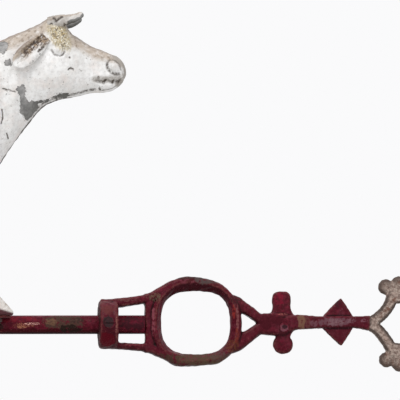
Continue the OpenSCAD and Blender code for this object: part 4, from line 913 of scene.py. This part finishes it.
def white_paint(name):
    """White lead paint on zinc: warm white and chalky, a little pink and grey in broad clouds. Where it has
    flaked the zinc is flat mid-grey, a coat lower, with a ragged edge, and painted darker as shade where
    it faces down. Dust lies tan on the upper sides, the forehead's curls are yellowed, and the cuts and
    hollows are darkened with dirt and painted shade. The mesh's own numbers say where."""
    material, tree, shader, place = start_material(name)
    note = {key: add(tree, "Attribute", out="Fac", attribute_name=key)
            for key in ("bare", "dust", "hair", "grime_and_shade", "stain", "muzzle", "edge", "under", "red")}
    dusty = add(tree, "MapRange", {0: note["dust"], 1: 0.02, 2: 0.36})
    dusty = speckle(tree, place, 5.0, 0.12, 0.52, dusty)
    coats = [
        (speckle(tree, place, 22.0, 0.35, 0.65), "#E0DEDB"),
        (speckle(tree, place, 12.0, 0.48, 0.72, 0.55), "#E2D4CC"),
        (speckle(tree, place, 2.8, 0.42, 0.70, 0.6), "#C6C3C0"),
        (speckle(tree, place, 2.3, 0.62, 0.69, 0.75), "#8F8A85"),
        (dusty, "#B6A99C"),
        (speckle(tree, place, 3.2, 0.52, 0.62, dusty), "#908274"),
        (add(tree, "MapRange", {0: note["dust"], 1: 0.76, 2: 0.96, 4: 0.8}), "#85776D"),
    ]
    for grain, low, high, colour in (
        (4.0, 0.25, 0.45, "#C6BCA2"), (2.6, 0.46, 0.54, "#B7A47C"), (2.2, 0.52, 0.58, "#766A58"),
        (2.0, 0.58, 0.64, "#F2EEE2"),
    ):
        curls = add(tree, "TexNoise", {"Vector": place, "Scale": 1000 / grain, "Distortion": 1.2})
        coats.append((add(tree, "MapRange", {0: curls, 1: low, 2: high, 4: note["hair"]}), colour))
    # Dirt and painted shade: darker where the surface sinks, in cuts and hollows.
    sunk = add(tree, "MapRange", {0: note["edge"], 1: -0.15, 2: -0.7, 4: 0.6})
    dirt_and_shade = speckle(tree, place, 2.2, 0.20, 0.55, note["grime_and_shade"])
    dirt_and_shade = add(tree, "Math", {0: dirt_and_shade, 1: sunk}, operation="MAXIMUM")
    coats += [
        (speckle(tree, place, 3.0, 0.25, 0.5, note["muzzle"]), "#9E978F"),
        (speckle(tree, place, 3.2, 0.34, 0.52, note["stain"]), "#94806A"),
        (speckle(tree, place, 2.2, 0.45, 0.56, note["stain"]), "#4E4037"),
        (add(tree, "MapRange", {0: dirt_and_shade, 1: 0.12, 2: 0.6}), "#4F4740"),
    ]
    # The first two noises fray the edges of the bare patches, and the third chips the paint anywhere.
    away = add(tree, "Math", {0: note["bare"], 1: bare_level}, operation="SUBTRACT")
    for grain, detail, rough, low, high, least, most, way in (
        (4.2, 7.0, 0.78, 0.25, 0.75, -2.6, 2.6, "ADD"),
        (13.0, 3.0, 0.5, 0.30, 0.70, -2.4, 2.0, "ADD"),
        (7.0, 7.0, 0.75, 0.61, 0.72, -3.0, 3.0, "MAXIMUM"),
    ):
        noise = {"Vector": place, "Scale": 1000 / grain, "Detail": detail, "Roughness": rough}
        bays = add(tree, "MapRange", {0: add(tree, "TexNoise", noise), 1: low, 2: high, 3: least, 4: most})
        away = add(tree, "Math", {0: away, 1: bays}, operation=way)
    bared = add(tree, "MapRange", {0: away, 1: -0.12, 2: 0.12})
    zinc = "#757473"
    for mask, colour in (
        (speckle(tree, place, 4.0, 0.35, 0.65), "#9C9A98"),
        # Painted shade: bare zinc darker where it faces down.
        (add(tree, "MapRange", {0: note["under"], 1: 0.15, 2: 0.85, 4: 0.8}), "#4C4B44"),
        (add(tree, "MapRange", {0: away, 1: 0.8, 2: 0.1, 4: 0.75}), "#4A443F"),
    ):
        zinc = add(tree, "Mix", {0: mask, 6: zinc, 7: colour}, 2, data_type="RGBA")
    tone = "#EFEEED"
    for mask, colour in coats + [(bared, zinc), (note["red"], "#43191F")]:
        tone = add(tree, "Mix", {0: mask, 6: tone, 7: colour}, 2, data_type="RGBA")
    rough = add(tree, "MapRange", {0: bared, 3: 0.62, 4: 0.50})
    metal = add(tree, "MapRange", {0: bared, 4: 0.35})
    chalk = add(tree, "TexNoise", {"Vector": place, "Scale": 1000 / 1.1, "Detail": 3.0})
    height = add(tree, "Math", {0: bared, 1: -0.9, 2: chalk}, operation="MULTIPLY_ADD")
    bump = add(tree, "Bump", {"Height": height, "Strength": 0.45, "Distance": 0.0003})
    feed(shader, {"Base Color": tone, "Roughness": rough, "Metallic": metal, "Specular IOR Level": 0.30,
                  "Normal": bump})
    return material


cow_paint = white_paint("white_lead_paint_on_zinc")


def half_of(whole, name, side):
    """The half of a closed mesh on one side of the middle plane, closed again by one flat face there."""
    cut = bmesh.new()
    cut.from_mesh(whole.data)
    bmesh.ops.bisect_plane(cut, geom=cut.verts[:] + cut.edges[:] + cut.faces[:], dist=1e-7,
                           plane_co=(0, 0, 0), plane_no=(0, -side, 0), clear_outer=True)
    rim = [edge for edge in cut.edges if len(edge.link_faces) == 1]
    for face in bmesh.ops.holes_fill(cut, edges=rim, sides=0)["faces"]:
        face.smooth = False
    for edge in rim:
        edge.smooth = False
    mesh = bpy.data.meshes.new(name)
    cut.to_mesh(mesh)
    cut.free()
    return put(name, mesh)


for side, name in ((-1, "right"), (1, "left")):
    half = half_of(cow, f"cow_{name}_skin", side)
    settle(half, "vane", "white_paint_on_zinc", cow_paint,
           f"cow_{name}_half", f"front_{name}_inner_leg", f"hind_{name}_inner_leg")
bpy.data.objects.remove(cow)

# Ears: cast zinc leaves, cupped, pointing back and down, soldered on below the horns. Their hollows
# have lost most of their paint and hold brown dirt, and the lower rims are bare.
ear_length = 39.5
for side, name in ((-1, "right_ear"), (1, "left_ear")):
    u, v = np.meshgrid(np.linspace(0, 1, 70), np.linspace(-1, 1, 49), indexing="ij")
    way = np.array([-0.698, side * 0.254, -0.669])
    over = unit(np.cross(way, [0, side, 0]) * -side)
    out = np.cross(way, over)
    out *= np.sign(out[1] * side)
    width = flow([0, 0.3, 0.55, 0.8, 0.93, 1], [5.4, 7.6, 8.8, 7.4, 4.6, 0.4], u)
    cup = flow([-1, -0.7, -0.3, 0.1, 0.4, 0.75, 1], [-0.4, 0.9, 0.6, -1.2, -2.0, 0.6, 0.2], v)
    cup = cup * np.sin(np.pi * (0.2 + 0.8 * u)) - 2.0 * u**2 + 2.2
    root = np.array([168.5, side * 17.3, sole + 238.5])
    inner = root + (u * ear_length)[..., None] * way + (v * width)[..., None] * over + cup[..., None] * out
    thick = 1.2 + 0.9 * fade(v - 0.9, 0.3) + 0.5 * fade(v + 0.9, 0.3) + 1.4 * (1 - u) ** 3
    outer = inner - thick[..., None] * out
    ear = join(name + "_skin", [solid(np.concatenate([inner, outer[:, ::-1]], axis=1))])
    cast_skin(ear, grain=0.45, rounds=3)
    roughen(ear, grain=3.0, height=0.10, seed=37)
    points, normals = read_points(ear.data), read_normals(ear.data)
    along, across = (points - root) @ way, (points - root) @ over
    shown = np.clip((normals @ out) * 2, 0, 1)
    hollow = fade(across - 2.2 + 0.02 * along, 3.9, 4) * np.clip((35 - along) / 12, 0, 1)
    root_end = fade(along - 4, 7, 4) * fade(across + 0.5, 5, 4)
    keep(ear.data, "stain", shown * np.maximum(hollow, root_end))
    # Painted shade along the inside of the lower rim, kept with the dirt.
    keep(ear.data, "grime_and_shade", shown * fade(across + 4.6, 1.3) * fade(along - 12, 4, 4))
    rim = flow([0, 12, 24, 34], [5, 6.8, 8.0, 5.5], along.clip(0, 34))
    bare = 1.6 - np.abs(across + rim) - np.clip(np.abs(along - 21) - 6, 0, 9)
    keep_bare(ear.data, bare)
    keep(ear.data, "dust", np.clip((across - 2.6) / 5.0, 0, 1))
    settle(ear, "vane", "white_paint_on_zinc", cow_paint, name)

# Horns: solid cast zinc, thick and blunt, growing forward and turning up at the tip. The undersides
# are bare grey.
horn_stations = [0, 0.25, 0.6, 0.8, 0.93, 1]
horn_cuts = [
    [(172.2, 249.6), (173.4, 250.8)], [(184.5, 250.1), (186.9, 247.7)],
    [(175.2, 255.8), (177.5, 253.0), (180.2, 255.2), (182.6, 256.4)]]
for side, name in ((-1, "right_horn"), (1, "left_horn")):
    t = np.linspace(0, 1, 70)
    rising = flow(horn_stations, [251.6, 253.3, 255.0, 256.7, 258.9, 259.7], t)
    line = grid(172.5 + 28.4 * t, side * (7 + 8 * np.sin(np.radians(130 * t))), sole + rising)
    thick = flow(horn_stations, [6.4, 5.7, 4.0, 3.3, 2.8, 2.8], t)
    thick *= dome((2.6 - (line[-1, 0] - line[:, 0])) / 2.6, 0.02)
    way = unit(np.gradient(line, axis=0))
    flat = unit(np.cross(way, [0, 0, 1]))
    up = np.cross(flat, way)
    loops = rounded(thick * 0.9, thick, 2.1, 40)
    horn = join(name + "_skin", [
        solid(line[:, None] + flat[:, None] * loops[..., :1] + up[:, None] * loops[..., 1:])])
    cast_skin(horn, grain=0.5, rounds=3)
    roughen(horn, grain=4.0, height=0.16, seed=31)
    points, normals = read_points(horn.data), read_normals(horn.data)
    x, h = points[:, 0], points[:, 2] - sole
    above_middle = points[:, 2] - np.interp(x, line[:, 0], line[:, 2])
    below = np.clip((x - 197.5) * 0.8, 0, 3) - above_middle - 1.2
    below += 4 * np.clip(-2 * side * normals[:, 1], 0, 1)
    bare = np.minimum(below * 2.2, (x - 184.6) * 0.8)
    keep_bare(horn.data, bare)
    keep(horn.data, "dust", np.clip((above_middle - 1.0) / 4.5, 0.1, 0.9))
    keep(horn.data, "grime_and_shade", 0.8 * np.max([fade(from_line(x, h, cut), 1.2) for cut in horn_cuts], axis=0))
    keep(horn.data, "muzzle", 0.62 * np.clip((191 - x) / 5, 0.35, 1))
    settle(horn, "vane", "white_paint_on_zinc", cow_paint, name)

# Udder: a bag of cast zinc with four teats, soldered under the belly. It is painted with the cow, and
# only small chips are off its paint, because the belly keeps the weather from it.
bag_x, bag_z = -72.0, sole + 95.5
parts = [lobe((bag_x, 0, bag_z), (19.5, 17.5, 13.5), 2.0, 60, 40)]
t = np.linspace(0, 1, 24)[:, None]
thick = (3.9 - 1.3 * t[:, 0]) * dome((t[:, 0] - 0.8) / 0.2)
loops = rounded(thick, thick, 2.0, 28)
for side in (-1, 1):
    for ahead in (-1, 1):
        parts.append(solid(grid(bag_x + ahead * (9.6 + 1.2 * t) + loops[..., 0],
                                side * (8.6 + t) + loops[..., 1], bag_z - 5.5 - 13.5 * t)))
udder = join("udder_skin", parts)
cast_skin(udder, grain=0.6, rounds=6)
settle(udder, "vane", "white_paint_on_zinc", cow_paint, "udder")

# Cow's tail: a rope of cast zinc, soldered on at the rump and painted with the cow. It hangs clear of
# the thighs and ends in a thicker switch, whose hair is combed into nine ridges.
tail_line = np.array([
    [-128, 207, 4.5], [-136, 204, 4.3], [-141, 192, 3.8], [-143, 170, 3.4], [-143.5, 145, 3.15],
    [-144, 118, 2.9], [-144, 95, 3.6], [-144, 76, 6.3], [-143, 58, 5.0], [-141, 42, 1.8]])
along = lengths_along(tail_line[:, :2])
at = np.linspace(0, along[-1], 220)[:, None]
tail_x, tail_h, tail_radius = (flow(along, values, at) for values in tail_line.T)
way_x, way_h = unit(np.gradient(np.hstack([tail_x, tail_h]), axis=0)).T[..., None]
turn = np.linspace(0, 2 * np.pi, 64, endpoint=False)
combed = 1 + 0.13 * np.clip((at - 95) / 20, 0, 1) * np.sin(9 * turn + at * 0.06)
radius = tail_radius * dome((at / at[-1] - 0.97) / 0.03, 0.05) * combed
cow_tail = join("cow_tail_skin", [
    solid(grid(tail_x - way_h * radius * np.cos(turn), radius * np.sin(turn),
               sole + tail_h + way_x * radius * np.cos(turn)))])
cow_tail.data.shade_smooth()
settle(cow_tail, "vane", "white_paint_on_zinc", cow_paint, "cow_tail")
